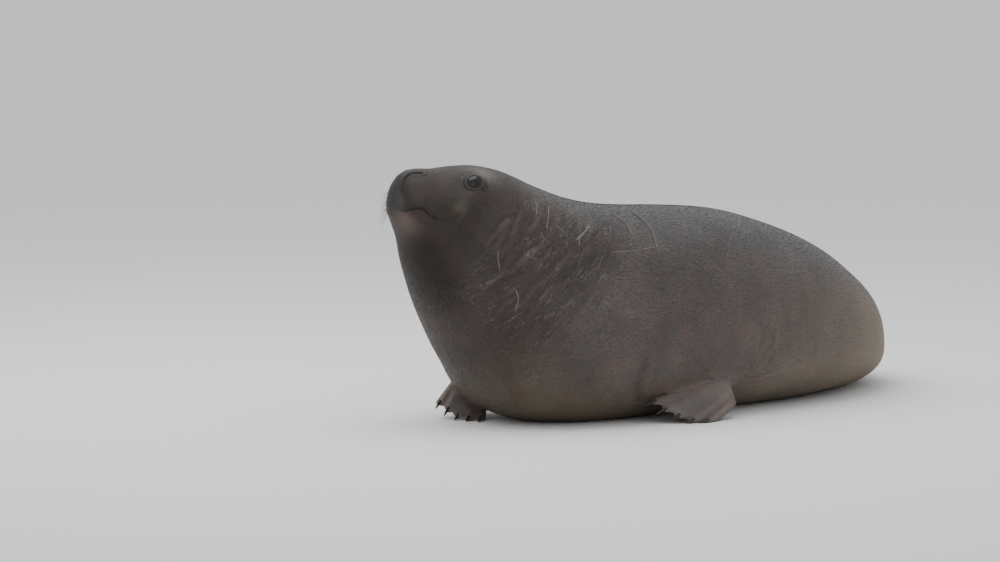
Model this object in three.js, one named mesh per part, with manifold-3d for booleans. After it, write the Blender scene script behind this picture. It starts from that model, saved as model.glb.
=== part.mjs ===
// A southern elephant seal at life size, its chest raised on the fore flippers and its hindquarters
// swung round to its right. It is modelled straight, nose at s = 0 and tail at large s, and then bent
// along its path over the floor. Points of the straight seal are [s, y, z], with its left side to -Y.
// Units are millimetres, +Z is up and the trunk faces -X.
import * as THREE from "three";
import { mergeVertices } from "three/addons/utils/BufferGeometryUtils.js";
import Module from "manifold-3d";

const wasm = await Module();
wasm.setup();

// Sections of the straight body, nose to tail. Each is a plane through a point on the back line (s, z)
// and one on the belly line (s, z). half is half the width, wide the height of the widest place as a
// share of the section, and round the power of its superellipse, where 2 is an ellipse and more is
// squarer.
const SECTIONS = [
  { back: [4, 708], belly: [4, 704], half: 2, wide: 0.5, round: 2.0 },
  { back: [7, 748], belly: [-1, 664], half: 46, wide: 0.5, round: 2.2 },
  { back: [27, 778], belly: [6, 634], half: 76, wide: 0.46, round: 2.3 },
  { back: [72, 796], belly: [14, 604], half: 98, wide: 0.46, round: 2.3 },
  { back: [131, 797], belly: [22, 576], half: 118, wide: 0.48, round: 2.2 },
  { back: [195, 801], belly: [31, 542], half: 142, wide: 0.5, round: 2.1 },
  { back: [275, 801], belly: [44, 498], half: 170, wide: 0.48, round: 2.1 },
  { back: [365, 780], belly: [66, 440], half: 201, wide: 0.45, round: 2.1 },
  { back: [470, 734], belly: [98, 366], half: 236, wide: 0.42, round: 2.1 },
  { back: [590, 692], belly: [146, 276], half: 274, wide: 0.4, round: 2.1 },
  { back: [720, 667], belly: [212, 172], half: 308, wide: 0.38, round: 2.15 },
  { back: [870, 654], belly: [314, 48], half: 338, wide: 0.38, round: 2.25 },
  { back: [1040, 645], belly: [540, -14], half: 352, wide: 0.38, round: 2.3 },
  { back: [1230, 626], belly: [960, -14], half: 352, wide: 0.38, round: 2.3 },
  { back: [1440, 572], belly: [1360, -14], half: 338, wide: 0.37, round: 2.3 },
  { back: [1660, 493], belly: [1650, -14], half: 312, wide: 0.36, round: 2.3 },
  { back: [1870, 398], belly: [1870, -14], half: 276, wide: 0.36, round: 2.3 },
  { back: [2060, 308], belly: [2060, -14], half: 226, wide: 0.37, round: 2.25 },
  { back: [2210, 232], belly: [2215, -10], half: 170, wide: 0.4, round: 2.2 },
  { back: [2330, 176], belly: [2330, 14], half: 110, wide: 0.45, round: 2.1 },
  { back: [2420, 132], belly: [2410, 56], half: 58, wide: 0.5, round: 2.0 },
  { back: [2500, 92], belly: [2498, 72], half: 24, wide: 0.5, round: 2.0 },
  { back: [2512, 84], belly: [2512, 82], half: 2, wide: 0.5, round: 2.0 },
];
const HEAD_SECTIONS = 8;
const HEAD_RINGS = 3;
const TRUNK_RINGS = 2;
const SEGMENTS = 44;

// Heading of the body's path over the floor, in degrees from +X towards +Y, at distances s along it.
const HEADINGS = [
  [0, -14],
  [350, -12],
  [620, -4],
  [900, 0],
  [1300, 4],
  [1700, 20],
  [2100, 50],
  [2700, 84],
];
const PATH_START = 900;
const PATH_STEP = 10;

// Places, in units of SECTIONS, where the body is parted into its nodes.
const PARTINGS = [7, 9.7, 13.1, 15.5, 19.6];
const BODY_NODES = ["head", "neck", "chest", "loin", "hindquarters", "tail"];
const GAP = 0.3;
const CLAW_GAP = 0.6;
const DISC_REACH = 1.25;

// Soft swellings and hollows of the head: where, how wide and how far out. Those off the middle have
// a twin.
const SWELLINGS = [
  { name: "whisker pad", at: [22, -50, 690], wide: 44, out: 13 },
  { name: "nose", at: [40, 0, 782], wide: 40, out: 5 },
  { name: "brow", at: [206, -88, 792], wide: 40, out: 11 },
  { name: "cheek", at: [160, -128, 690], wide: 62, out: 9 },
  { name: "tear hollow", at: [172, -112, 730], wide: 40, out: -8 },
  { name: "chin", at: [6, 0, 636], wide: 36, out: 6 },
  { name: "throat hollow", at: [62, -92, 606], wide: 48, out: -7 },
];

const EYE = { at: [218, -100, 746], radius: 36, axis: [-0.33, -0.83, 0.42] };
// The lids are a shell over the ball with a round opening.
const LIDS = { thick: 3.5, opening: 21.5, reach: 60, steps: 20 };
const NOSTRIL = { front: [23, -28, 774], back: [66, -46, 788], wide: 5, deep: 12 };
const EAR = { at: [338, -164, 668], radius: 6 };

// The mouth's line: its height where it stands at a distance s behind the nose.
const MOUTH = [
  [0, 673],
  [26, 681],
  [38, 680],
  [80, 649],
  [120, 644],
];
const MOUTH_FRONT = 1.02;
const MOUTH_CORNER = 5.15;
const MOUTH_STEPS = 26;
// The groove's depth, half its height outside the face, and how much it shallows and lowers at its ends.
const MOUTH_GROOVE = { deep: 11, high: 10, outside: 14, shallow: 0.97, low: 0.4 };

// A flipper's sizes: half widths and half thicknesses at the root, the wrist and the tips, the spread
// of its edges, and the length of its hand along each digit as a share of the whole.
const FORE = {
  hand: 240,
  rootHalf: 84,
  wristHalf: 62,
  fan: 0.14,
  rootThick: 50,
  wristThick: 26,
  tipThick: 7,
  lengths: [1, 0.96, 0.88, 0.78, 0.66],
};
const HIND = {
  hand: 330,
  rootHalf: 56,
  wristHalf: 50,
  fan: 0.3,
  rootThick: 40,
  wristThick: 24,
  tipThick: 7,
  lengths: [1, 0.84, 0.76, 0.82, 0.96],
};
// Where a flipper starts in the body, its wrist, and the ways its digits and its leading edge point.
const FORE_LEFT = {
  root: [1000, -225, 165],
  wrist: [948, -350, 82],
  along: [-0.95, -0.1, -0.3],
  lead: [0.2, 0.65, 0.7],
};
const FORE_RIGHT = {
  root: [560, 200, 172],
  wrist: [402, 236, 92],
  along: [-0.6, -0.62, -0.38],
  lead: [0.8, -0.55, -0.15],
};
const HIND_LEFT = {
  root: [2255, -72, 92],
  wrist: [2400, -104, 84],
  along: [0.97, -0.2, -0.04],
  lead: [0, -0.5, -0.87],
};
const HIND_RIGHT = {
  root: [2255, 72, 92],
  wrist: [2400, 104, 84],
  along: [0.97, 0.2, -0.04],
  lead: [0, 0.5, -0.87],
};
const DIGITS_AT = [0.84, 0.42, 0, -0.42, -0.84];
const DIGIT_RIDGE = { wide: 0.15, share: 0.5, notch: 0.1 };
const FLOOR_PRESS = 0.55;
// A flipper thins to this share at its edges and its tips, and towards the tips by this power.
const EDGE_THIN = 0.85;
const TIP_THIN = 0.5;
const THIN_FROM = 0.87;
const THIN_POWER = 0.8;
const RIDGED_FROM = 0.5;
const FLIPPER_SPAN = 16;
const ARM_RINGS = 3;
const HAND_RINGS = 6;
const CLAW = {
  length: 42,
  radius: 6.5,
  taper: 0.93,
  sides: 6,
  steps: 3,
  back: 16,
  drop: 0.5,
  lift: 2,
};

const FLOOR_REACH = 4000;
const FLOOR_DEPTH = 200;

// Cubic interpolation through values held at whole numbers of t, with its ends run out in line.
function spline(values, t) {
  const last = values.length - 1;
  const i = Math.min(Math.max(Math.floor(t), 0), last - 1);
  const u = t - i;
  const b = values[i];
  const c = values[i + 1];
  const a = i > 0 ? values[i - 1] : 2 * b - c;
  const d = i + 1 < last ? values[i + 2] : 2 * c - b;
  return b + 0.5 * u * (c - a + u * (2 * a - 5 * b + 4 * c - d + u * (3 * (b - c) + d - a)));
}

// Value at x of a curve through pairs [x, value], eased between them.
function eased(pairs, x) {
  let i = 0;
  while (i < pairs.length - 2 && x > pairs[i + 1][0]) i += 1;
  const [x0, v0] = pairs[i];
  const [x1, v1] = pairs[i + 1];
  const u = THREE.MathUtils.clamp((x - x0) / (x1 - x0), 0, 1);
  return v0 + (v1 - v0) * u * u * (3 - 2 * u);
}

const vector = (values) => new THREE.Vector3(...values);
const mirrored = ([s, y, z]) => [s, -y, z];
const column = (pick) => SECTIONS.map(pick);
const BACK_S = column((c) => c.back[0]);
const BACK_Z = column((c) => c.back[1]);
const BELLY_S = column((c) => c.belly[0]);
const BELLY_Z = column((c) => c.belly[1]);
const HALF = column((c) => c.half);
const WIDE = column((c) => c.wide);
const ROUND = column((c) => c.round);

function swelling(point) {
  let out = 0;
  for (const { at, wide, out: reach } of SWELLINGS) {
    for (const place of at[1] === 0 ? [at] : [at, mirrored(at)]) {
      out += reach * Math.exp(-point.distanceToSquared(vector(place)) / (wide * wide));
    }
  }
  return out;
}

// The straight body's surface: t runs along the sections, angle goes round from the back over the left
// side, and grow moves the surface outwards.
function bodyPoint(t, angle, grow = 0) {
  const back = new THREE.Vector3(spline(BACK_S, t), 0, spline(BACK_Z, t));
  const belly = new THREE.Vector3(spline(BELLY_S, t), 0, spline(BELLY_Z, t));
  const wide = spline(WIDE, t);
  const power = 2 / spline(ROUND, t);
  const up = Math.cos(angle);
  const side = Math.sin(angle);
  const rise = Math.sign(up) * Math.abs(up) ** power * (up > 0 ? 1 - wide : wide);
  const middle = belly.clone().lerp(back, wide);
  const point = belly.clone().lerp(back, wide + rise);
  point.y = -spline(HALF, t) * Math.sign(side) * Math.abs(side) ** power;
  const out = point.clone().sub(middle).normalize();
  return point.addScaledVector(out, swelling(point) + grow);
}

function heading(s) {
  return THREE.MathUtils.degToRad(eased(HEADINGS, s));
}
function pathPoint(s) {
  const steps = Math.max(1, Math.ceil(Math.abs(s - PATH_START) / PATH_STEP));
  const ds = (s - PATH_START) / steps;
  const point = new THREE.Vector2();
  for (let i = 0; i < steps; i += 1) {
    const h = heading(PATH_START + (i + 0.5) * ds);
    point.add(new THREE.Vector2(Math.cos(h), Math.sin(h)).multiplyScalar(ds));
  }
  return point;
}
// Takes a point of the straight seal to its bent place.
function bend(p) {
  const h = heading(p.x);
  const on = pathPoint(p.x);
  return new THREE.Vector3(on.x - p.y * Math.sin(h), on.y + p.y * Math.cos(h), p.z);
}
// The same for a direction at a point.
function bendDirection(p, direction) {
  const step = 1;
  return bend(p.clone().addScaledVector(direction, step)).sub(bend(p)).normalize();
}

// A closed geometry from rings of points, with a fan at each end.
function closedRings(rings) {
  const count = rings[0].length;
  const positions = rings.flat().flatMap((p) => [p.x, p.y, p.z]);
  const index = [];
  for (let r = 0; r + 1 < rings.length; r += 1) {
    for (let k = 0; k < count; k += 1) {
      const a = r * count + k;
      const b = r * count + ((k + 1) % count);
      index.push(a, b, a + count, b, b + count, a + count);
    }
  }
  const middle = (ring) => ring.reduce((sum, p) => sum.add(p), new THREE.Vector3()).divideScalar(count);
  const first = positions.length / 3;
  const last = (rings.length - 1) * count;
  for (const p of [middle(rings[0]), middle(rings[rings.length - 1])]) positions.push(p.x, p.y, p.z);
  for (let k = 0; k < count; k += 1) {
    index.push(first, (k + 1) % count, k);
    index.push(first + 1, last + k, last + ((k + 1) % count));
  }
  const geometry = new THREE.BufferGeometry();
  geometry.setAttribute("position", new THREE.Float32BufferAttribute(positions, 3));
  geometry.setIndex(index);
  return geometry;
}

// A closed geometry as a solid, turned right side out.
function solid(geometry) {
  const plain = geometry.clone();
  plain.deleteAttribute("normal");
  plain.deleteAttribute("uv");
  const merged = mergeVertices(plain, 1e-3);
  const vertProperties = merged.attributes.position.array;
  const build = (triVerts) => new wasm.Manifold(new wasm.Mesh({ numProp: 3, vertProperties, triVerts }));
  const index = new Uint32Array(merged.index.array);
  const made = build(index);
  return made.volume() > 0 ? made : build(index.reverse());
}
function geometryOf(made) {
  const { vertProperties, triVerts } = made.getMesh();
  const geometry = new THREE.BufferGeometry();
  geometry.setAttribute("position", new THREE.BufferAttribute(vertProperties, 3));
  geometry.setIndex(new THREE.BufferAttribute(triVerts, 1));
  return geometry;
}
const largest = (made) => made.decompose().sort((a, b) => b.volume() - a.volume())[0];

function ringAt(t, grow) {
  const angles = Array.from({ length: SEGMENTS }, (_, k) => (2 * Math.PI * k) / SEGMENTS);
  return angles.map((angle) => bend(bodyPoint(t, angle, grow)));
}
function bodySolid(grow = 0) {
  const places = [];
  for (let r = 0; r < HEAD_SECTIONS * HEAD_RINGS; r += 1) places.push(r / HEAD_RINGS);
  const trunk = SECTIONS.length - 1 - HEAD_SECTIONS;
  for (let r = 0; r <= trunk * TRUNK_RINGS; r += 1) places.push(HEAD_SECTIONS + r / TRUNK_RINGS);
  return solid(closedRings(places.map((t) => ringAt(t, grow))));
}

// A thin disc, wider than the body, that parts it across one section.
function partingDisc(t) {
  const ring = ringAt(t, 0);
  const middle = ring.reduce((sum, p) => sum.add(p), new THREE.Vector3()).divideScalar(SEGMENTS);
  const quarter = SEGMENTS / 4;
  const across = ring[quarter].clone().sub(ring[3 * quarter]);
  const normal = across.cross(ring[0].clone().sub(ring[2 * quarter])).normalize();
  const wide = ring.map((p) => p.clone().sub(middle).multiplyScalar(DISC_REACH).add(middle));
  const face = (side) => wide.map((p) => p.clone().addScaledVector(normal, (side * GAP) / 2));
  return solid(closedRings([face(1), face(-1)]));
}

const ground = new THREE.BoxGeometry(FLOOR_REACH, FLOOR_REACH, FLOOR_DEPTH);
const floorCutter = solid(ground.translate(0, 0, -FLOOR_DEPTH / 2));

// Distance from the nearest digit's middle line, as a ridge that is 1 on it.
function ridge(v) {
  return Math.max(...DIGITS_AT.map((at) => Math.exp(-(((v - at) / DIGIT_RIDGE.wide) ** 2))));
}
function digitLength(lengths, v) {
  const digit = (DIGITS_AT[0] - v) / (DIGITS_AT[0] - DIGITS_AT[1]);
  const plain = spline(lengths, THREE.MathUtils.clamp(digit, 0, DIGITS_AT.length - 1));
  return plain * (1 - DIGIT_RIDGE.notch * (1 - ridge(v)));
}

// The frame of a flipper's hand: unit vectors along the digits, towards the leading edge and out of
// the palm.
function handFrame(pose) {
  const along = vector(pose.along).normalize();
  const lead = vector(pose.lead).projectOnPlane(along).normalize();
  const palm = along.clone().cross(lead);
  return { along, lead, palm, wrist: vector(pose.wrist), root: vector(pose.root) };
}
// A point of the hand's middle surface: u runs from the wrist to the tips and v from the trailing to
// the leading edge.
function handPoint(form, frame, u, v) {
  const reach = u * form.hand * digitLength(form.lengths, v);
  const way = frame.along.clone().addScaledVector(frame.lead, v * form.fan).normalize();
  const point = frame.wrist.clone().addScaledVector(frame.lead, v * form.wristHalf);
  point.addScaledVector(way, reach);
  point.z = Math.max(point.z, form.tipThick * FLOOR_PRESS);
  return point;
}
const edgeThin = (v) => Math.sqrt(1 - EDGE_THIN * v ** 4);
function handThick(form, u, v) {
  const thin = Math.min(1, u / THIN_FROM) ** THIN_POWER;
  const plain = THREE.MathUtils.lerp(form.wristThick, form.tipThick, thin);
  const ridged = Math.min(1, u / RIDGED_FROM);
  return plain * edgeThin(v) * (1 - DIGIT_RIDGE.share * ridged * (1 - ridge(v)));
}
function flipperRings(form, pose) {
  const frame = handFrame(pose);
  const rings = [];
  const ring = (place, thick) => {
    const points = [];
    for (const side of [1, -1]) {
      for (let k = 0; k < FLIPPER_SPAN; k += 1) {
        const v = side * (1 - (2 * k) / (FLIPPER_SPAN - 1));
        const { point, out } = place(v);
        points.push(bend(point.addScaledVector(out, side * thick(v))));
      }
    }
    return points;
  };
  for (let r = 0; r < ARM_RINGS; r += 1) {
    const u = r / ARM_RINGS;
    const centre = frame.root.clone().lerp(frame.wrist, u);
    const half = THREE.MathUtils.lerp(form.rootHalf, form.wristHalf, u);
    const thick = THREE.MathUtils.lerp(form.rootThick, form.wristThick, u);
    rings.push(
      ring(
        (v) => ({ point: centre.clone().addScaledVector(frame.lead, v * half), out: frame.palm }),
        (v) => thick * edgeThin(v),
      ),
    );
  }
  for (let r = 0; r <= HAND_RINGS; r += 1) {
    const u = r / HAND_RINGS;
    rings.push(
      ring(
        (v) => ({ point: handPoint(form, frame, u, v), out: frame.palm }),
        (v) => handThick(form, u, v) * (r === HAND_RINGS ? TIP_THIN : 1),
      ),
    );
  }
  return rings;
}
const flipperSolid = (form, pose) => solid(closedRings(flipperRings(form, pose)));

// A claw at the tip of one digit, rooted in the flipper and curved down to its point.
function clawSolid(form, pose, digit, grow = 0) {
  const frame = handFrame(pose);
  const v = DIGITS_AT[digit];
  const tip = handPoint(form, frame, 1, v);
  const way = tip.clone().sub(handPoint(form, frame, 0.7, v)).normalize();
  const upward = new THREE.Vector3(0, 0, 1).addScaledVector(way, -way.z).normalize();
  const across = way.clone().cross(upward);
  const rings = [];
  for (let r = 0; r <= CLAW.steps; r += 1) {
    const u = r / CLAW.steps;
    const plain = CLAW.radius * Math.sqrt(1 - CLAW.taper * u);
    const radius = plain + grow;
    const centre = tip.clone().addScaledVector(way, u * CLAW.length - CLAW.back);
    centre.z = Math.max(centre.z + CLAW.radius * CLAW.drop * (1 - u * u), plain + CLAW.lift);
    centre.addScaledVector(way, grow * (2 * u - 1));
    const ring = [];
    for (let k = 0; k < CLAW.sides; k += 1) {
      const angle = (2 * Math.PI * k) / CLAW.sides;
      const point = centre.clone().addScaledVector(across, radius * Math.cos(angle));
      ring.push(bend(point.addScaledVector(upward, radius * Math.sin(angle))));
    }
    rings.push(ring);
  }
  return solid(closedRings(rings));
}

// Where the mouth's line crosses the section at t, and the way out of the face there.
function mouthPlace(t, side) {
  let low = 0;
  let high = Math.PI;
  for (let i = 0; i < 30; i += 1) {
    const middle = (low + high) / 2;
    const p = bodyPoint(t, middle);
    if (p.z > eased(MOUTH, p.x)) low = middle;
    else high = middle;
  }
  const point = bodyPoint(t, side * low);
  const out = bodyPoint(t, side * low, 1).sub(point).normalize();
  return { point, out };
}
function mouthCutter() {
  const places = [];
  for (let i = -MOUTH_STEPS; i <= MOUTH_STEPS; i += 1) {
    const u = Math.abs(i) / MOUTH_STEPS;
    const t = THREE.MathUtils.lerp(MOUTH_FRONT, MOUTH_CORNER, u);
    const { point, out } = mouthPlace(t, Math.sign(i) || 1);
    if (i === 0) point.y = 0;
    const deep = MOUTH_GROOVE.deep * Math.sqrt(1 - MOUTH_GROOVE.shallow * u ** 4);
    const high = MOUTH_GROOVE.high * (1 - MOUTH_GROOVE.low * u ** 4);
    const rise = new THREE.Vector3(0, 0, high);
    const outside = point.clone().addScaledVector(out, MOUTH_GROOVE.outside);
    const inside = point.clone().addScaledVector(out, -deep);
    places.push([outside.clone().add(rise), inside, outside.clone().sub(rise)]);
  }
  return solid(closedRings(places.map((ring) => ring.map(bend))));
}

// An ellipsoid along a line of the straight seal, as long as the line and half as wide and deep as asked.
function ellipsoid(from, to, wide, deep) {
  const a = bend(vector(from));
  const b = bend(vector(to));
  const ball = new THREE.SphereGeometry(1, 10, 6).scale(a.distanceTo(b) / 2, wide, deep);
  const xAxis = b.clone().sub(a).normalize();
  const yAxis = new THREE.Vector3(0, 0, 1).cross(xAxis).normalize();
  ball.applyMatrix4(new THREE.Matrix4().makeBasis(xAxis, yAxis, xAxis.clone().cross(yAxis)));
  const centre = a.add(b).divideScalar(2);
  return solid(ball.translate(centre.x, centre.y, centre.z));
}

function eyeball(side, grow = 0) {
  const centre = bend(vector(side < 0 ? EYE.at : mirrored(EYE.at)));
  return solid(new THREE.SphereGeometry(EYE.radius + grow, 16, 10).translate(centre.x, centre.y, centre.z));
}
// The round opening between the lids, as a rod from the middle of the ball out along the eye's axis.
function lidOpening(side) {
  const at = vector(side < 0 ? EYE.at : mirrored(EYE.at));
  const axis = bendDirection(at, vector(side < 0 ? EYE.axis : mirrored(EYE.axis)).normalize());
  const rod = new THREE.CylinderGeometry(LIDS.opening, LIDS.opening, LIDS.reach, LIDS.steps);
  rod.translate(0, LIDS.reach / 2, 0);
  rod.applyQuaternion(new THREE.Quaternion().setFromUnitVectors(new THREE.Vector3(0, 1, 0), axis));
  const centre = bend(at);
  return solid(rod.translate(centre.x, centre.y, centre.z));
}

// The body is cut from one solid, in order from the nose, and the head is then finished.
const grown = bodySolid(GAP * 1.4);
let whole = bodySolid().subtract(floorCutter);
for (const t of PARTINGS) whole = whole.subtract(partingDisc(t));
const middleX = (made) => (made.boundingBox().min[0] + made.boundingBox().max[0]) / 2;
const pieces = whole.decompose().sort((a, b) => middleX(a) - middleX(b));
const nodes = new Map(BODY_NODES.map((name, i) => [name, pieces[i]]));

let head = nodes.get("head").subtract(mouthCutter());
for (const side of [-1, 1]) {
  const twin = (place) => (side < 0 ? place : mirrored(place));
  head = head.add(eyeball(side, LIDS.thick)).subtract(lidOpening(side)).subtract(eyeball(side, GAP));
  head = head.subtract(ellipsoid(twin(NOSTRIL.front), twin(NOSTRIL.back), NOSTRIL.wide, NOSTRIL.deep));
  const ear = [EAR.at, [EAR.at[0] + 2 * EAR.radius, EAR.at[1] * 1.02, EAR.at[2]]].map(twin);
  head = head.subtract(ellipsoid(ear[0], ear[1], EAR.radius * 2, EAR.radius * 1.4));
  nodes.set(side < 0 ? "eye_left" : "eye_right", eyeball(side));
}
nodes.set("head", largest(head));

const FLIPPERS = [
  { name: "fore_flipper_left", form: FORE, pose: FORE_LEFT, claws: "claw_left" },
  { name: "fore_flipper_right", form: FORE, pose: FORE_RIGHT, claws: "claw_right" },
  { name: "hind_flipper_left", form: HIND, pose: HIND_LEFT },
  { name: "hind_flipper_right", form: HIND, pose: HIND_RIGHT },
];
for (const { name, form, pose, claws } of FLIPPERS) {
  let flipper = flipperSolid(form, pose).subtract(grown).subtract(floorCutter);
  if (claws) {
    DIGITS_AT.forEach((_, digit) => {
      nodes.set(`${claws}_${digit + 1}`, clawSolid(form, pose, digit));
      flipper = flipper.subtract(clawSolid(form, pose, digit, CLAW_GAP));
    });
  }
  nodes.set(name, largest(flipper));
}

const finish = (color, roughness) => new THREE.MeshStandardMaterial({ color, roughness, metalness: 0 });
const materials = {
  skin: finish(0x5b514c, 0.5),
  eye: finish(0x14100e, 0.08),
  claw: finish(0x2a2522, 0.4),
};
const materialOf = (name) => materials[name.split("_")[0]] ?? materials.skin;

const seal = new THREE.Group();
for (const [name, made] of nodes) {
  const mesh = new THREE.Mesh(geometryOf(made), materialOf(name));
  mesh.name = name;
  seal.add(mesh);
}
// The frame's origin is on the floor, below the middle of the seal.
const box = new THREE.Box3().setFromObject(seal);
seal.position.set(-(box.min.x + box.max.x) / 2, -(box.min.y + box.max.y) / 2, -box.min.z);

export default seal;
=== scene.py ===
# %% [markdown]
# A southern elephant seal, hauled out and looking over its left shoulder at the camera. The CAD
# part gives its solids, one for each region of the body. On the real animal no seam shows between
# them: one wet, short-haired hide runs from the nose to the hind flippers. This script builds that
# hide, the eyes, claws, whiskers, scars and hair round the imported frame. Shapes are drawn in
# millimetres and carried into the frame in metres, with +Z up and the seal's left side to -Y.

import math

import bpy
import numpy as np
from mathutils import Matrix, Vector, kdtree


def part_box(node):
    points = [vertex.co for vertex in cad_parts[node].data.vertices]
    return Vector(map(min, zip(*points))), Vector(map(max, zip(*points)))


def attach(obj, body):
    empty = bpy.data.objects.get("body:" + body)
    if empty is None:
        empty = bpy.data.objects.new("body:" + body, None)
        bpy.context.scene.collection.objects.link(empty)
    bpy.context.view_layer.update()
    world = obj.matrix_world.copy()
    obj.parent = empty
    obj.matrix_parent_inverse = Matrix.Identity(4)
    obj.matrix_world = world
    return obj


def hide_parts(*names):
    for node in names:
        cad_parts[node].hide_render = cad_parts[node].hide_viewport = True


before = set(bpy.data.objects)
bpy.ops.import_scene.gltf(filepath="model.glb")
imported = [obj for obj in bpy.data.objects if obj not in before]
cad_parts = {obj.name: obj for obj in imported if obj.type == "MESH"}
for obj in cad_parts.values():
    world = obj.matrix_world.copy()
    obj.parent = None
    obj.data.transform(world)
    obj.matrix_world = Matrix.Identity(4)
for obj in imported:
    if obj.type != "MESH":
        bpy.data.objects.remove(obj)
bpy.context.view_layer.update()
MM = 0.001

# %% [markdown]
# The body is a stack of ring sections, the way a boat's hull is drawn. Each section leans in the
# plane of symmetry, from a point on the back line to a point on the belly line, and has a half
# width. Storing the sections as columns of numbers lets numpy work out a hundred thousand skin
# points at once. The CAD part uses the same sections, so the hide lies on its solids.

# %% Sections of the straight body, in millimetres
# back s, back z, belly s, belly z, half width, height of the widest place, power of the superellipse
SECTIONS = np.array(
    [
        [4, 708, 4, 704, 2, 0.50, 2.0],
        [7, 748, -1, 664, 46, 0.50, 2.2],
        [27, 778, 6, 634, 76, 0.46, 2.3],
        [72, 796, 14, 604, 98, 0.46, 2.3],
        [131, 797, 22, 576, 118, 0.48, 2.2],
        [195, 801, 31, 542, 142, 0.50, 2.1],
        [275, 801, 44, 498, 170, 0.48, 2.1],
        [365, 780, 66, 440, 201, 0.45, 2.1],
        [470, 734, 98, 366, 236, 0.42, 2.1],
        [590, 692, 146, 276, 274, 0.40, 2.1],
        [720, 667, 212, 172, 308, 0.38, 2.15],
        [870, 654, 314, 48, 338, 0.38, 2.25],
        [1040, 645, 540, -14, 352, 0.38, 2.3],
        [1230, 626, 960, -14, 352, 0.38, 2.3],
        [1440, 572, 1360, -14, 338, 0.37, 2.3],
        [1660, 493, 1650, -14, 312, 0.36, 2.3],
        [1870, 398, 1870, -14, 276, 0.36, 2.3],
        [2060, 308, 2060, -14, 226, 0.37, 2.25],
        [2210, 232, 2215, -10, 170, 0.40, 2.2],
        [2330, 176, 2330, 14, 110, 0.45, 2.1],
        [2420, 132, 2410, 56, 58, 0.50, 2.0],
        [2500, 92, 2498, 72, 24, 0.50, 2.0],
        [2512, 84, 2512, 82, 2, 0.50, 2.0],
    ]
)
HEADINGS = np.array(
    [[0, -14], [350, -12], [620, -4], [900, 0], [1300, 4], [1700, 20], [2100, 50], [2700, 84]], float
)
PATH_START = 900
LAST = len(SECTIONS) - 1
print("sections:", len(SECTIONS), "standard length", SECTIONS[-1, 0], "mm")

# %% [markdown]
# Three small curves do the drawing. `spline` runs smoothly through the sections, `eased` runs
# through a few pairs of numbers, and `smooth` fades from 0 to 1. They take whole arrays.


# %% Curves
def spline(column, t):
    values = SECTIONS[:, column]
    i = np.clip(np.floor(t).astype(int), 0, LAST - 1)
    u = t - i
    b, c = values[i], values[i + 1]
    a = np.where(i > 0, values[np.maximum(i - 1, 0)], 2 * b - c)
    d = np.where(i + 1 < LAST, values[np.minimum(i + 2, LAST)], 2 * c - b)
    return b + 0.5 * u * (c - a + u * (2 * a - 5 * b + 4 * c - d + u * (3 * (b - c) + d - a)))


def eased(pairs, x):
    pairs = np.asarray(pairs, float)
    i = np.clip(np.searchsorted(pairs[:, 0], x, side="left") - 1, 0, len(pairs) - 2)
    u = np.clip((x - pairs[i, 0]) / (pairs[i + 1, 0] - pairs[i, 0]), 0, 1)
    return pairs[i, 1] + (pairs[i + 1, 1] - pairs[i, 1]) * u * u * (3 - 2 * u)


def smooth(low, high, x):
    u = np.clip((x - low) / (high - low), 0, 1)
    return u * u * (3 - 2 * u)


def bell(x, width):
    return np.exp(-((x / width) ** 2))


# %% [markdown]
# The seal lies in a curve: its chest faces the camera's left and its hindquarters swing away. It is
# easiest to model the animal straight and then carry every point along a path over the floor.
# `bend` does that. The shift to the frame's origin is read from the CAD eye, so the hide and the
# solids can't drift apart.


# %% Bending along the path
EYE_AT = np.array([218.0, -100.0, 746.0])
path_s = np.arange(-300.0, 2900.0, 5.0)
path_h = np.radians(eased(HEADINGS, path_s + 2.5))
path_xy = np.concatenate([[[0, 0]], np.cumsum(5.0 * np.stack([np.cos(path_h), np.sin(path_h)], 1), 0)])[:-1]
path_xy = path_xy - [np.interp(PATH_START, path_s, path_xy[:, k]) for k in (0, 1)]
shift = np.zeros(3)


def bend(p):
    h = np.radians(eased(HEADINGS, p[..., 0]))
    x = np.interp(p[..., 0], path_s, path_xy[:, 0]) - p[..., 1] * np.sin(h)
    y = np.interp(p[..., 0], path_s, path_xy[:, 1]) + p[..., 1] * np.cos(h)
    return (np.stack([x, y, p[..., 2]], -1) + shift) * MM


eye_box = np.array(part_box("eye_left"))
shift = eye_box.mean(0) / MM - bend(EYE_AT) / MM
print("shift to the frame's origin, mm:", shift.round(2))

# %% [markdown]
# A seal's head is all soft swellings: whisker pads, cheeks, brows. Each is a bell-shaped push
# outwards round a point. They are the same ones that the CAD head has.

# %% Swellings of the head
SWELLINGS = [
    ([22, -50, 690], 44, 13),
    ([40, 0, 782], 40, 5),
    ([206, -88, 792], 40, 11),
    ([160, -128, 690], 62, 9),
    ([172, -112, 730], 40, -8),
    ([6, 0, 636], 36, 6),
    ([62, -92, 606], 48, -7),
]


def near(p, place):
    return np.linalg.norm(p - np.asarray(place, float), axis=-1)


def both_sides(place):
    place = np.asarray(place, float)
    return [place] if place[1] == 0 else [place, place * [1, -1, 1]]


def swelling(p):
    out = 0
    for at, wide, reach in SWELLINGS:
        for place in both_sides(at):
            out = out + reach * bell(near(p, place), wide)
    return out


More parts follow.
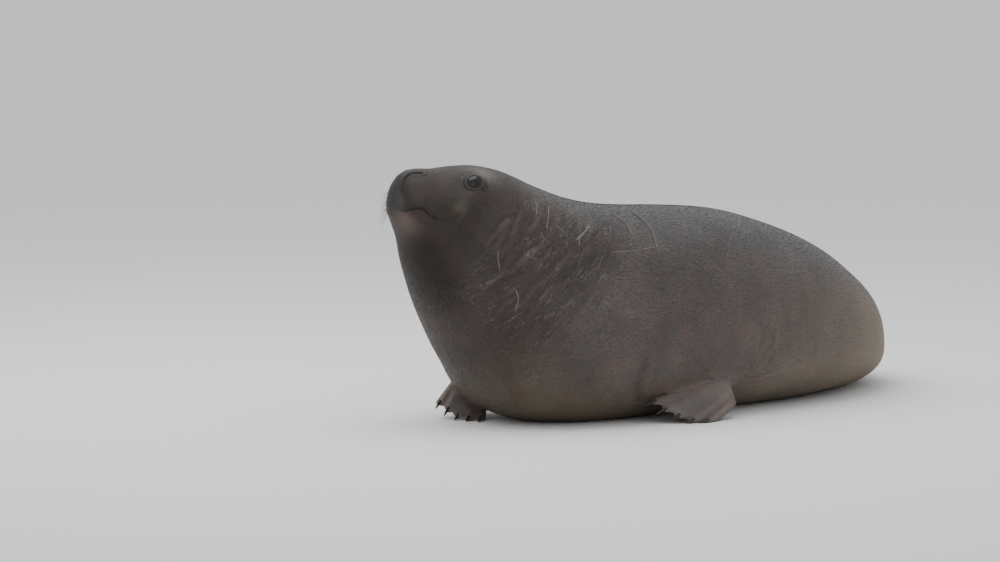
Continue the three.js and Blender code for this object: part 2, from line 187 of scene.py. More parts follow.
def plain_surface(t, angle):
    """Skin point and the way out of it, at section t and angle round from the back over the left side."""
    t, angle = np.broadcast_arrays(np.asarray(t, float), np.asarray(angle, float))
    zero = np.zeros_like(t)
    back = np.stack([spline(0, t), zero, spline(1, t)], -1)
    belly = np.stack([spline(2, t), zero, spline(3, t)], -1)
    wide = spline(5, t)[..., None]
    power = 2 / spline(6, t)
    up, side = np.cos(angle), np.sin(angle)
    rise = (np.sign(up) * np.abs(up) ** power)[..., None]
    rise = rise * np.where(rise > 0, 1 - wide, wide)
    p = belly + (back - belly) * (wide + rise)
    p[..., 1] = -spline(4, t) * np.sign(side) * np.abs(side) ** power
    out = p - (belly + (back - belly) * wide)
    out /= np.maximum(np.linalg.norm(out, axis=-1, keepdims=True), 1e-9)
    return p + out * swelling(p)[..., None], out


print("nose tip", plain_surface(0, 0)[0].round(1), "shoulder", plain_surface(10.5, 1.6)[0].round(1))

# %% [markdown]
# The features are finer than the swellings. They are again pushes along the way out, but shaped as
# grooves: the line of the mouth with a soft lip on each side, the slits of the nostrils, the crease
# between them and the ear hole. Sculpting by hand would give the same forms, but a formula can be
# read and changed.

# %% Lines of the face
MOUTH = [[0, 673], [26, 681], [38, 680], [80, 649], [120, 644]]
MOUTH_CORNER = 114
NOSTRIL = np.array([[23, -28, 774], [40, -29, 786], [68, -49, 787]], float)
NOSE_FOLD = np.array([[22, -29, 772], [10, -38, 749], [6, -46, 732]], float)
EAR = [338, -164, 668]


def line_distance(p, line):
    """Distance of points from a line through two or more places."""
    nearest = np.inf
    for a, b in zip(line[:-1], line[1:]):
        u = np.clip(((p - a) @ (b - a)) / ((b - a) @ (b - a)), 0, 1)
        nearest = np.minimum(nearest, np.linalg.norm(p - (a + u[..., None] * (b - a)), axis=-1))
    return nearest


def mouth_offset(p):
    return p[..., 2] - eased(MOUTH, p[..., 0])


def face_relief(p):
    d = mouth_offset(p)
    open_to = 1 - smooth(MOUTH_CORNER - 50, MOUTH_CORNER, p[..., 0])
    lips = -3.6 * bell(d, 2.6) + 1.4 * bell(d - 12, 10) + 4.0 * bell(d + 12, 9)
    out = lips * open_to
    for side in (1, -1):
        mirror = np.array([1, side, 1])
        slit = line_distance(p, NOSTRIL * mirror)
        out = out - 8 * bell(slit, 4.0) + 2.0 * bell(slit - 10, 6)
        out = out - 2.4 * bell(line_distance(p, NOSE_FOLD * mirror), 4)
        ear = near(p, np.array(EAR) * mirror)
        out = out - 5 * bell(ear, 6) + 1.5 * bell(ear - 11, 5)
    crease = smooth(676, 690, p[..., 2]) * smooth(792, 776, p[..., 2]) * smooth(40, 20, p[..., 0])
    return out - 3 * bell(p[..., 1], 4) * crease


print("mouth line from", MOUTH[0], "to its corner at", MOUTH_CORNER, "mm")

# %% [markdown]
# Loose skin on the neck lies in rings, and behind each fore flipper it gathers in folds that fan
# out from the armpit. Single deep creases, behind the mouth, at the jaw and on the shoulder, are
# lines over the skin given by a few places in (section, angle). Each ring wanders and fades as it
# goes round, by slow waves with fixed phases.

# %% Folds of the neck and flanks
NECK_FOLDS = [
    (7.3, 3.8, 0.1),
    (7.62, 2.6, 0.08),
    (7.9, 4.0, 0.09),
    (8.2, 3.0, 0.08),
    (8.45, 4.2, 0.09),
    (8.75, 3.0, 0.08),
    (9.0, 3.8, 0.09),
    (9.35, 2.6, 0.09),
    (9.7, 3.2, 0.1),
    (10.1, 2.2, 0.1),
]
CREASES = [
    ([(11.86, 1.70), (12.0, 1.95), (12.19, 2.2)], 5.0, 16),
    ([(7.35, 1.41), (7.42, 1.64), (7.49, 1.87)], 2.2, 8),
    ([(4.95, 1.36), (5.4, 1.42), (5.6, 1.52), (5.5, 1.64)], 1.0, 6),
]
ARMPIT = plain_surface(13.12, 2.09)[0]


def trace(places, count=9):
    places = np.asarray(places, float)
    u = np.linspace(0, len(places) - 1, count)
    return [np.interp(u, range(len(places)), places[:, k]) for k in (0, 1)]


def line_on_skin(p, places):
    """Distance of points from a line over the hide, on either side of the body."""
    left = p * [1, 0, 1] - np.abs(p) * [0, 1, 0]
    return line_distance(left, plain_surface(*trace(places))[0])


def armpit_fan(p):
    """Direction from the armpit, distance from it and strength of the folds there."""
    s, z = p[..., 0] - ARMPIT[0], p[..., 2] - ARMPIT[2]
    r, ray = np.hypot(s, z), np.arctan2(z, s)
    strength = smooth(-0.2, 0.1, ray) * smooth(1.5, 0.9, ray) * smooth(25, 70, r) * bell(r, 190)
    return ray, r, strength * (np.abs(p[..., 1]) > 150)


def body_relief(p, t, angle):
    turn = np.abs((angle + np.pi) % (2 * np.pi) - np.pi)
    out = np.zeros_like(t)
    for i, (at, deep, wide) in enumerate(NECK_FOLDS):
        wander = 0.1 * np.sin(3 * angle + 1.7 * i) + 0.06 * np.sin(8 * angle + 2.9 * i)
        wander = wander + 0.03 * np.sin(19 * angle + i)
        broken = 0.4 + 0.5 * np.sin(5 * angle + 2.1 * i) + 0.4 * np.sin(11 * angle + 1.3 * i)
        reach = smooth(0.5, 1.1, turn) * smooth(0.0, 0.9, broken) * smooth(2.5, 1.9, turn)
        groove = bell(t - at - wander, wide)
        swell = bell(t - at - wander - 2.1 * wide, 1.5 * wide)
        out = out + reach * deep * (0.7 * swell - groove)
    for places, deep, wide in CREASES:
        off = line_on_skin(p, places)
        out = out - deep * bell(off, wide) + 0.4 * deep * bell(off - 2 * wide, wide)
    ray, r, strength = armpit_fan(p)
    return out + 4.6 * strength * np.sin(22 * ray + 0.9 * np.sin(r / 45))


print("neck folds:", len(NECK_FOLDS), "armpit", ARMPIT.round(0))

# %% [markdown]
# An eye looks alive when its lids hug the ball. The opening is an ellipse seen along the eye's
# axis. Skin outside it is laid on the ball as a thin rounded rim, and skin inside it is pushed
# below the ball's surface, where it can't be seen. Points close to the rim are moved on to it, so
# that its edge is a clean curve.

# %% Lids
EYE_RADIUS = 36.0
EYE_AXIS = np.array([-0.33, -0.83, 0.42]) / np.linalg.norm([-0.33, -0.83, 0.42])
OPENING = (22.5, 20.5)


def eye_frame(side):
    mirror = np.array([1, side, 1])
    axis = EYE_AXIS * mirror
    across = np.cross([0, 0, 1], axis)
    across /= np.linalg.norm(across)
    return EYE_AT * mirror, axis, across, np.cross(axis, across)


def eye_place(p, side):
    """Where points lie round an eye: across, up, out of the face, and in units of the opening."""
    centre, axis, across, upward = eye_frame(side)
    q = p - centre
    x, y = q @ across, q @ upward
    return x, y, q @ axis, np.hypot(x / OPENING[0], (y + 0.0012 * x * x) / OPENING[1])


def lay_lids(p):
    for side in (1, -1):
        _, axis, across, upward = eye_frame(side)
        x, y, high, rho = eye_place(p, side)
        here = (rho < 3.2) & (high > -10)
        snapped = np.where(np.abs(rho - 1) < 0.07, 1.0, rho)
        scale = np.where(here, snapped / np.maximum(rho, 1e-6), 1)
        new_x, new_y, rho = x * scale, y * scale, snapped
        off_axis = np.hypot(new_x, new_y)
        ball = np.sqrt(EYE_RADIUS**2 - np.minimum(off_axis, 0.9 * EYE_RADIUS) ** 2)
        edge = np.sqrt(EYE_RADIUS**2 - (off_axis / np.maximum(rho, 0.3)) ** 2) + 0.4
        swell = 1.4 * bell(rho - 1.14, 0.1) - 1.2 * bell(rho - 1.42, 0.1) + 0.5 * bell(rho - 1.65, 0.15)
        lid = edge + (high - edge) * smooth(1.0, 2.0, rho) + swell * smooth(0.99, 1.04, rho)
        new_high = np.where(here, np.where(rho < 0.99, ball - 7, lid), high)
        moved = [np.where(here, new_x - x, 0), np.where(here, new_y - y, 0), new_high - high]
        p = p + sum(step[..., None] * way for step, way in zip(moved, (across, upward, axis)))
    return p


def skin_surface(t, angle, sink=1.5):
    """The finished hide of head and body, in the straight pose, a hair's depth inside the solids."""
    p, out = plain_surface(t, angle)
    t, angle = np.broadcast_arrays(np.asarray(t, float), np.asarray(angle, float))
    relief = face_relief(p) * smooth(6.5, 5.5, t) + body_relief(p, t, angle)
    p = p + out * (relief - sink * smooth(0.2, 1, t))[..., None]
    d = mouth_offset(p)
    on_line = (np.abs(d) < 1.3) & (p[..., 0] < MOUTH_CORNER - 14) & (t < 6) & (t > 0.5)
    p[..., 2] -= np.where(on_line, d, 0)
    return lay_lids(p)


print("eye centre", EYE_AT, "radius", EYE_RADIUS)

# %% [markdown]
# The hide starts as a grid: rings round the body, points round each ring. The face needs a point
# about every two millimetres and the trunk one every twelve, so the head's rings have twice as many
# points, crowded towards the eyes and the mouth, and a strip of triangles joins the two densities
# on the neck.

# %% Grid of the hide
HEAD_ENDS = 8
HEAD_POINTS = 340
RINGS_PER_SECTION = [16, 18, 16, 20, 24, 26, 16, 14, 18, 18, 12, 12, 15, 15, 12] + [8] * (LAST - 15)


def ring_places(first, last):
    return [i + k / n for i in range(first, last) for n in [RINGS_PER_SECTION[i]] for k in range(n)]


def ring_angles(count, crowd, first=0.5, last=2.7):
    """Angles of one ring, crowded by that much between two turns from the back on each side."""
    fine = np.linspace(0, 2 * np.pi, 4001)
    turn = np.abs((fine + np.pi) % (2 * np.pi) - np.pi)
    dense = 1 + crowd * smooth(first, first + 0.4, turn) * smooth(last, last - 0.5, turn)
    total = np.concatenate([[0], np.cumsum((dense[1:] + dense[:-1]) / 2)])
    return np.interp(np.arange(count) / count * total[-1], total, fine)


head_t = ring_places(0, HEAD_ENDS) + [HEAD_ENDS]
trunk_t = [t for t in ring_places(HEAD_ENDS, LAST) if t > HEAD_ENDS + 0.03] + [LAST]
rings = []
for t in head_t:
    rings.append((t, ring_angles(HEAD_POINTS, 1.1 * float(smooth(7.9, 6.6, t)))))
TRUNK_POINTS = HEAD_POINTS // 2
for t in trunk_t:
    crowd = 1.3 * float(smooth(10, 12, t) * smooth(17, 15, t))
    rings.append((t, ring_angles(TRUNK_POINTS, crowd, 1.2, 2.6)))
grid_t = np.concatenate([np.full(len(a), t) for t, a in rings])
grid_angle = np.concatenate([a for _, a in rings])
print("rings:", len(rings), "points:", len(grid_t))

# %% Faces of the hide
faces = []
start = 0
for (_, a), (_, b) in zip(rings[:-1], rings[1:]):
    n, m = len(a), len(b)
    k = np.arange(m)
    first, second = start + np.arange(n), start + n + k
    if n == m:
        faces += np.stack([first, np.roll(first, -1), np.roll(second, -1), second], 1).tolist()
    else:
        even, odd, after = first[0::2], first[1::2], np.roll(first, -2)[0::2]
        faces += np.stack([even, odd, second], 1).tolist()
        faces += np.stack([odd, np.roll(second, -1), second], 1).tolist()
        faces += np.stack([odd, after, np.roll(second, -1)], 1).tolist()
    start += n
points = skin_surface(grid_t, grid_angle)
nose, tail = len(points), len(points) + 1
points = np.concatenate([points, points[:HEAD_POINTS].mean(0)[None], points[-TRUNK_POINTS:].mean(0)[None]])
faces += [[(k + 1) % HEAD_POINTS, k, nose] for k in range(HEAD_POINTS)]
last_ring = nose - TRUNK_POINTS
faces += [[last_ring + k, last_ring + (k + 1) % TRUNK_POINTS, tail] for k in range(TRUNK_POINTS)]
print("hide faces:", len(faces))


# %% A mesh object from arrays
def new_object(name, places, faces, straight=True):
    """A mesh object, faces outwards, from straight-pose points in millimetres or from points in the frame."""
    world = bend(places) if straight else places
    mesh = bpy.data.meshes.new(name)
    mesh.from_pydata(world.tolist(), [], faces)
    mesh.validate()
    corners = np.array([[f[0], f[i], f[i + 1]] for f in faces for i in range(1, len(f) - 1)])
    a, b, c = (world[corners[:, i]] for i in range(3))
    if np.einsum("ij,ij->i", a, np.cross(b, c)).sum() < 0:
        mesh.flip_normals()
    mesh.shade_smooth()
    made = bpy.data.objects.new(name, mesh)
    bpy.context.scene.collection.objects.link(made)
    return made


hide = new_object("hide", points, faces)
print("hide:", len(hide.data.polygons), "faces")

# %% [markdown]
# A seal's flipper is a mitten: an arm hidden in the body, five long digits and a web of skin
# between them. Its section is a flat oval that runs from root to tips, thinner between the digits,
# and the digits' lengths give the outline of its end. The fore flippers have their thumb side
# foremost. The hind flippers, which the photograph hides, are finished from the species, with the
# outer digits longest.

# %% Sizes and poses of the flippers
FORE = dict(hand=240, root_half=84, wrist_half=62, fan=0.14, root_thick=50, wrist_thick=26, tip_thick=7)
FORE["lengths"] = [1, 0.96, 0.88, 0.78, 0.66]
HIND = dict(hand=330, root_half=56, wrist_half=50, fan=0.3, root_thick=40, wrist_thick=24, tip_thick=7)
HIND["lengths"] = [1, 0.84, 0.76, 0.82, 0.96]
FLIPPERS = {
    "fore_left": (FORE, [1000, -225, 165], [948, -350, 82], [-0.95, -0.1, -0.3], [0.2, 0.65, 0.7]),
    "fore_right": (FORE, [560, 200, 172], [402, 236, 92], [-0.6, -0.62, -0.38], [0.8, -0.55, -0.15]),
    "hind_left": (HIND, [2255, -72, 92], [2400, -104, 84], [0.97, -0.2, -0.04], [0, -0.5, -0.87]),
    "hind_right": (HIND, [2255, 72, 92], [2400, 104, 84], [0.97, 0.2, -0.04], [0, 0.5, -0.87]),
}
DIGITS_AT = np.array([0.84, 0.42, 0, -0.42, -0.84])
FLOOR_PRESS = 0.55


def unit(v):
    v = np.asarray(v, float)
    return v / np.linalg.norm(v)


def hand_frame(name):
    form, root, wrist, along, lead = FLIPPERS[name]
    along = unit(along)
    lead = unit(np.asarray(lead) - np.dot(lead, along) * along)
    return form, np.asarray(root, float), np.asarray(wrist, float), along, lead, np.cross(along, lead)


def ridge(v):
    return np.max([bell(v - at, 0.15) for at in DIGITS_AT], axis=0)


def digit_length(form, v):
    place = np.clip((DIGITS_AT[0] - v) / (DIGITS_AT[0] - DIGITS_AT[1]), 0, len(DIGITS_AT) - 1)
    return np.interp(place, range(len(DIGITS_AT)), form["lengths"]) * (1 - 0.1 * (1 - ridge(v)))


def hand_point(name, u, v):
    """The hand's middle surface: u from the wrist to the tips, v from the trailing to the leading edge."""
    form, _, wrist, along, lead, _ = hand_frame(name)
    u, v = np.broadcast_arrays(np.asarray(u, float), np.asarray(v, float))
    way = along + v[..., None] * form["fan"] * lead
    way /= np.linalg.norm(way, axis=-1, keepdims=True)
    reach = u * form["hand"] * digit_length(form, v)
    p = wrist + lead * (v * form["wrist_half"])[..., None] + way * reach[..., None]
    p[..., 2] = np.maximum(p[..., 2], form["tip_thick"] * FLOOR_PRESS)
    return p


print("flippers:", list(FLIPPERS))

# %% Skin of the flippers
ARM_RINGS, HAND_RINGS, ROUND_POINTS = 10, 30, 72


def tube_bands(rings, sides):
    """Faces round a tube, four-sided, between each ring of points and the next."""
    k = np.arange(sides)
    after = (k + 1) % sides
    band = np.stack([k, after, after + sides, k + sides], 1)
    return np.concatenate([band + ring * sides for ring in range(rings - 1)]).tolist()


def flipper_mesh(name):
    form, root, wrist, along, lead, palm = hand_frame(name)
    phi = 2 * np.pi * np.arange(ROUND_POINTS) / ROUND_POINTS
    v = np.sign(np.cos(phi)) * np.abs(np.cos(phi)) ** 0.6
    high = np.sin(phi)
    rings = []
    for r in range(ARM_RINGS):
        u = r / ARM_RINGS
        half = form["root_half"] + (form["wrist_half"] - form["root_half"]) * u
        thick = form["root_thick"] + (form["wrist_thick"] - form["root_thick"]) * u
        rings.append(root + (wrist - root) * u + np.outer(v * half, lead) + np.outer(high * thick, palm))
    for r in range(HAND_RINGS + 1):
        u = r / HAND_RINGS
        plain = form["wrist_thick"] + (form["tip_thick"] - form["wrist_thick"]) * min(1, 1.15 * u) ** 0.8
        between = 1 - 0.5 * min(1, 2 * u) * (1 - ridge(v))
        tip = math.sqrt(max(0.003, 1 - (max(0, u - 0.9) / 0.1) ** 2))
        thick = plain * between * tip
        rings.append(hand_point(name, u, v) + np.outer(high * thick, palm))
    places = np.concatenate(rings + [rings[0].mean(0)[None]])
    quads = tube_bands(len(rings), ROUND_POINTS)
    quads += [[(i + 1) % ROUND_POINTS, i, len(places) - 1] for i in range(ROUND_POINTS)]
    first = (len(rings) - 1) * ROUND_POINTS
    half, last = first + ROUND_POINTS // 2, first + ROUND_POINTS
    quads += [[first + i, first + i + 1, last - 1 - i, last - i] for i in range(1, half - first - 1)]
    quads += [[first, first + 1, last - 1], [half - 1, half, half + 1]]
    return places, quads


flippers = []
for name in FLIPPERS:
    places, quads = flipper_mesh(name)
    flippers.append(new_object(name, places, quads))
print("flipper faces:", [len(o.data.polygons) for o in flippers])

# %% [markdown]
# A Boolean union makes one closed skin of body and flippers. It leaves a sharp line where they
# meet, which no animal has, so the points near that line are relaxed: each moves towards the middle
# of its neighbours, most on the line and less away from it.

# %% One skin
body_points = np.array([v.co for v in hide.data.vertices])
sources = [body_points] + [np.array([v.co for v in o.data.vertices]) for o in flippers]
for limb in flippers:
    joined = hide.modifiers.new("join " + limb.name, "BOOLEAN")
    joined.operation, joined.object, joined.solver = "UNION", limb, "MANIFOLD"
shaped = bpy.data.meshes.new_from_object(hide.evaluated_get(bpy.context.evaluated_depsgraph_get()))
hide.modifiers.clear()
hide.data = shaped
shaped.materials.clear()
shaped.polygons.foreach_set("material_index", np.zeros(len(shaped.polygons), int))
for limb in flippers:
    bpy.data.objects.remove(limb)
print("one skin:", len(hide.data.vertices), "points")

# %% Soft joins at the flippers
SAME_PLACE = 2e-5
SOFT_REACH, SOFT_STRENGTH, SOFT_ROUNDS = 0.03, 0.6, 24


def nearest_of(places, targets):
    """For each place, the number of the nearest target and the distance to it."""
    tree = kdtree.KDTree(len(targets))
    for i, target in enumerate(targets):
        tree.insert(target, i)
    tree.balance()
    found = [tree.find(place) for place in places]
    return np.array([f[1] for f in found]), np.array([f[2] for f in found])


world = np.empty(len(shaped.vertices) * 3)
shaped.vertices.foreach_get("co", world)
world = world.reshape(-1, 3)
nearest, distance = nearest_of(world, np.concatenate(sources))
new_points = distance > SAME_PLACE
_, join_distance = nearest_of(world, world[new_points])
edges = np.array([e.vertices for e in shaped.edges])
neighbours = np.bincount(edges.ravel(), minlength=len(world))[:, None]


def relax(values, strength, rounds):
    """Moves the values of each point of the skin towards the mean of its neighbours'."""
    for _ in range(rounds):
        total = np.zeros_like(values)
        np.add.at(total, edges[:, 0], values[edges[:, 1]])
        np.add.at(total, edges[:, 1], values[edges[:, 0]])
        values += strength * (total / neighbours - values)


relax(world, bell(join_distance, SOFT_REACH)[:, None] * SOFT_STRENGTH, SOFT_ROUNDS)
world[:, 2] = np.maximum(world[:, 2], 0.0)
shaped.vertices.foreach_set("co", world.ravel())
shaped.update()
print("points on the joins:", int(new_points.sum()))

# %% [markdown]
# Wet hide is dark brown-grey, olive on the lower rump, and paler on the chin and round the eyes.
# Painted light is laid over it: a painted sheen makes the back bluer grey where it faces upwards,
# painted light bounced from the floor makes the lower sides paler, and the darker throat is partly
# painted shade. These markings are worked out at each point of the skin from where it is on the
# animal and stored as a colour attribute. Finer mottling and streaks of wet hair come from noise in
# the material.

# %% Markings of the skin
source_t = np.concatenate([grid_t, [0, LAST]] + [np.full(len(s), -1.0) for s in sources[1:]])
source_angle = np.concatenate([grid_angle, [0, 0]] + [np.zeros(len(s)) for s in sources[1:]])
skin_t, skin_angle = source_t[nearest], source_angle[nearest]
on_body = skin_t >= 0


def unbend_s(places):
    """Distance along the path of points of the frame, from the nearest place on it."""
    flat = places[:, :2] / MM - shift[:2]
    steps = np.arange(0, len(path_s), 4)
    near_step = np.argmin(((flat[:, None] - path_xy[steps][None]) ** 2).sum(-1), axis=1)
    return path_s[steps][near_step]


signed_turn = (skin_angle + np.pi) % (2 * np.pi) - np.pi
turn = np.abs(signed_turn)
along = np.where(on_body, skin_t, 13.0)
tone = np.tile([0.098, 0.077, 0.073], (len(world), 1))
unbent = np.concatenate([points] + [flipper_mesh(name)[0] for name in FLIPPERS])[nearest]


def mix(colour, amount):
    """Mixes that colour into the skin's, at each of its points by that amount."""
    tone[:] += (np.asarray(colour) - tone) * np.asarray(amount)[:, None]


belt = smooth(12, 9.5, along) * smooth(6, 7.5, along)
# painted sheen: the back is tinted bluer grey where it faces up, a painted reflection of the sky
mix([0.082, 0.079, 0.083], 0.85 * smooth(1.35, 0.5, turn) * on_body * smooth(5.5, 9.5, along))
mix([0.04, 0.03, 0.027], 0.8 * smooth(0.35, 1.0, turn) * belt * on_body)
mix([0.021, 0.0145, 0.0125], 0.88 * smooth(8.0, 6, along) * on_body)
belt = smooth(11, 13.5, along) * smooth(16, 14.5, along)
mix([0.103, 0.081, 0.076], 0.8 * smooth(1.0, 1.4, turn) * belt * on_body)
mix([0.05, 0.04, 0.038], 0.5 * bell(along - 12, 0.9) * bell(turn - 1.15, 0.5) * on_body)
mix([0.105, 0.09, 0.09], 0.6 * bell(along - 10.5, 0.7) * bell(turn - 1.35, 0.3) * on_body)
mix([0.03, 0.023, 0.021], 0.4 * bell(along - 9.5, 0.7) * bell(turn - 2.05, 0.3) * on_body)
# browner, paler lower sides: the hide's own brown and painted light bounced up from the floor
mix([0.135, 0.106, 0.073], 0.75 * smooth(1.9, 2.5, turn) * smooth(9.5, 12, along) * on_body)
# painted light bounced up from the floor on the low flank
belt = smooth(12.8, 13.6, along) * smooth(16, 15, along)
mix([0.16, 0.13, 0.11], 0.7 * smooth(1.5, 2.1, turn) * belt * on_body)
rump = smooth(0.7, 1.4, turn) * smooth(13.2, 16.8, along) * on_body
mix([0.198, 0.143, 0.086], 0.85 * rump * smooth(19.5, 17, along))
mix([0.15, 0.118, 0.095], 0.8 * rump * smooth(17.5, 19.5, along))
mix([0.135, 0.109, 0.104], 0.9 * ~on_body)
# darker throat: its own dark brown and painted shade under the head
throat_and_shade = smooth(1.9, 2.5, turn) * smooth(9, 7, along) * smooth(2.5, 4, along)
mix([0.012, 0.008, 0.0065], 0.8 * throat_and_shade * on_body)
print("colour of the trunk:", tone[on_body].mean(0).round(3))

# %% [markdown]
# The face has smaller marks: a pale chin, a dark front to the nose, partly painted shade, and a thin
# pale ring round each eye. Painted light goes on them too: a painted reflection of the sky on the
# brows and the top of the head, a painted highlight on the cheek fold, and painted shade in the slits
# of the nostrils, along the creases of the nose, round the lids, along the deep creases of the head
# and shoulder, and under the upper lip. Each is a soft spot round a place, or a soft line along one
# of the face's lines.

# %% Markings of the face
# colour, strength, place and width in millimetres
FACE_SPOTS_AND_LIGHT = [
    ([0.045, 0.031, 0.027], 0.6, [66, -100, 735], 44),
    # painted reflection of the sky on the brows and the top of the head
    ([0.16, 0.155, 0.152], 0.75, [262, -86, 796], 50),
    # painted highlight on the cheek fold behind the mouth
    ([0.085, 0.076, 0.056], 0.8, [142, -152, 686], 20),
    ([0.024, 0.019, 0.018], 0.7, [92, -130, 690], 36),
    ([0.07, 0.052, 0.047], 0.5, [34, -84, 712], 22),
]
from_mouth = mouth_offset(unbent)
chin = bell(near(unbent, [14, -54, 645]), 50) * smooth(0, -7, from_mouth)
mix([0.1, 0.075, 0.067], 0.85 * chin * on_body)
# dark front of the nose: its own dark skin and painted shade
nose_skin_and_shade = bell(near(unbent, [2, -14, 708]), 52) * smooth(-2, 6, from_mouth)
mix([0.012, 0.0095, 0.008], 0.85 * nose_skin_and_shade * on_body)


def round_eye(side):
    """How far the skin's points lie from an eye's middle, in units of its opening."""
    _, _, high, rho = eye_place(unbent, side)
    return np.where(high > 0, rho, 9)


for side in (1, -1):
    mirror = np.array([1, side, 1])
    for colour, strength, place, wide in FACE_SPOTS_AND_LIGHT:
        # spots of colour, among them a painted reflection on the brows and a painted highlight on the cheek
        mix(colour, strength * bell(near(unbent, np.array(place) * mirror), wide) * on_body)
    # painted shade in the slits of the nostrils
    mix([0.01, 0.008, 0.008], 0.8 * bell(line_distance(unbent, NOSTRIL * mirror), 4.6) * on_body)
    # painted shade along the crease below each nostril
    mix([0.012, 0.01, 0.009], 0.55 * bell(line_distance(unbent, NOSE_FOLD * mirror), 5) * on_body)
    rho = round_eye(side)
    # painted shade in the groove round the lids
    mix([0.016, 0.012, 0.011], 0.7 * bell(rho - 1.42, 0.2) * on_body)
    mix([0.12, 0.1, 0.08], 0.4 * bell(rho - 1.12, 0.08) * on_body)
    mix([0.008, 0.007, 0.006], smooth(1.03, 0.98, rho) * on_body)
# painted shadow along the mouth, under the upper lip
lip_shadow = bell(from_mouth, 3.2) * smooth(MOUTH_CORNER + 6, MOUTH_CORNER - 16, unbent[:, 0])
mix([0.012, 0.009, 0.008], 0.38 * lip_shadow * on_body)
# painted shade along the deep creases behind the mouth, at the jaw and on the shoulder
for places, _, wide in CREASES:
    mix([0.022, 0.018, 0.017], 0.4 * bell(line_on_skin(unbent, places), 0.8 * wide) * on_body)
print("darkest and palest red of the skin:", tone[:, 0].min().round(3), tone[:, 0].max().round(3))

# %% [markdown]
# On a flipper the web between the digits is darker than the digits. Where a flipper meets the body
# the colours are blended, as the shapes were, by moving each point's colour towards the mean of its
# neighbours'.

# %% Markings of the flippers
BLEND_REACH, BLEND_STRENGTH, BLEND_ROUNDS = 0.05, 0.7, 40
limb_ends = np.cumsum([len(source) for source in sources])
for i, name in enumerate(FLIPPERS):
    form, _, wrist, along_hand, lead, _ = hand_frame(name)
    reach = (unbent - wrist) @ along_hand
    across_hand = (unbent - wrist) @ lead / (form["wrist_half"] + form["fan"] * reach)
    on_limb = (nearest >= limb_ends[i]) & (nearest < limb_ends[i + 1])
    web = 0.62 + 0.5 * ridge(np.clip(across_hand, -1, 1))
    tone *= np.where(on_limb, 1 + (web - 1) * smooth(-20, 60, reach), 1)[:, None]
relax(tone, BLEND_STRENGTH * bell(join_distance, BLEND_REACH)[:, None], BLEND_ROUNDS)
print("mean colour:", tone.mean(0).round(3))

# %% [markdown]
# Old scars run over the neck and shoulder: short dashes from bites, two long curved ones and a fine
# scratch. Each is a line over the skin, given by places in (section, angle), with half its width in
# millimetres. Their places come before the coat, because no hair grows on a scar.

# %% Places of the scars
SCARS = [
    ([(7.82, 0.67), (7.99, 0.91)], 2.2),
    ([(8.20, 0.68), (8.28, 0.85), (8.37, 1.01)], 2.4),
    ([(8.30, 1.09), (8.50, 1.14)], 2.0),
    ([(8.56, 0.92), (8.76, 0.96)], 2.6),
    ([(9.30, 0.74), (9.24, 0.86), (9.14, 0.99)], 3.6),
    ([(9.16, 0.92), (9.26, 1.03)], 2.4),
    ([(9.99, 0.44), (10.27, 0.58), (10.40, 0.74)], 3.2),
    ([(10.54, 0.32), (10.80, 0.60), (11.04, 0.89)], 3.8),
    ([(10.0, 0.99), (10.5, 0.92), (11.05, 0.82)], 1.4),
    ([(7.6, 1.55), (7.75, 1.62), (8.05, 1.7)], 1.8),
    ([(8.7, 1.72), (8.95, 1.78), (9.15, 1.92)], 1.8),
    ([(9.2, -0.8), (9.35, -1.05)], 2.6),
    ([(8.4, -1.2), (8.6, -1.5)], 2.2),
]
print("scars:", len(SCARS))

# %% [markdown]
# Attributes carry what the materials and the coat need from the formulas: the colour, coordinates
# that run along and round the body, how loose the skin is, the fan of folds at the armpit, the way
# the hair lies, how thick it grows and how large it is. Hair is smallest on the face and the
# flippers, and there is none on the eyes, the nostrils, the lips and the parts pressed on the
# floor.


# %% Attributes of the skin
def store(name, values):
    values = np.asarray(values, float)
    kind = "FLOAT" if values.ndim == 1 else "FLOAT_VECTOR"
    made = shaped.attributes.new(name, kind, "POINT")
    made.data.foreach_set("value" if kind == "FLOAT" else "vector", values.ravel())


def columns(*parts):
    return np.stack(np.broadcast_arrays(*parts), 1)


colours = shaped.attributes.new("tone", "FLOAT_COLOR", "POINT")
colours.data.foreach_set("color", columns(tone[:, 0], tone[:, 1], tone[:, 2], 1.0).ravel())
limb_x, limb_y, limb_z = world.T
store(
    "pelt",
    columns(
        np.where(on_body, unbend_s(world) * MM, limb_y),
        np.where(on_body, signed_turn * 0.3, limb_z),
        np.where(on_body, skin_t * 0.1, limb_x),
    ),
)
loose = smooth(6.9, 7.7, along) * smooth(11.2, 9.6, along)
store("loose", loose * smooth(0.35, 0.9, turn) * smooth(2.7, 2.2, turn) * on_body)
ray, ray_reach, ray_strength = armpit_fan(unbent)
store("fan", columns(ray, ray_reach * MM, ray_strength * on_body))
unwrap_u = np.where(on_body, 0.5 + signed_turn / (2 * np.pi), 0.5 + 0.1 * limb_x)
unwrap_v = np.where(on_body, skin_t / LAST * 0.8, 0.9 + 0.05 * limb_y)
store("unwrap", columns(unwrap_u, unwrap_v, 0.0))

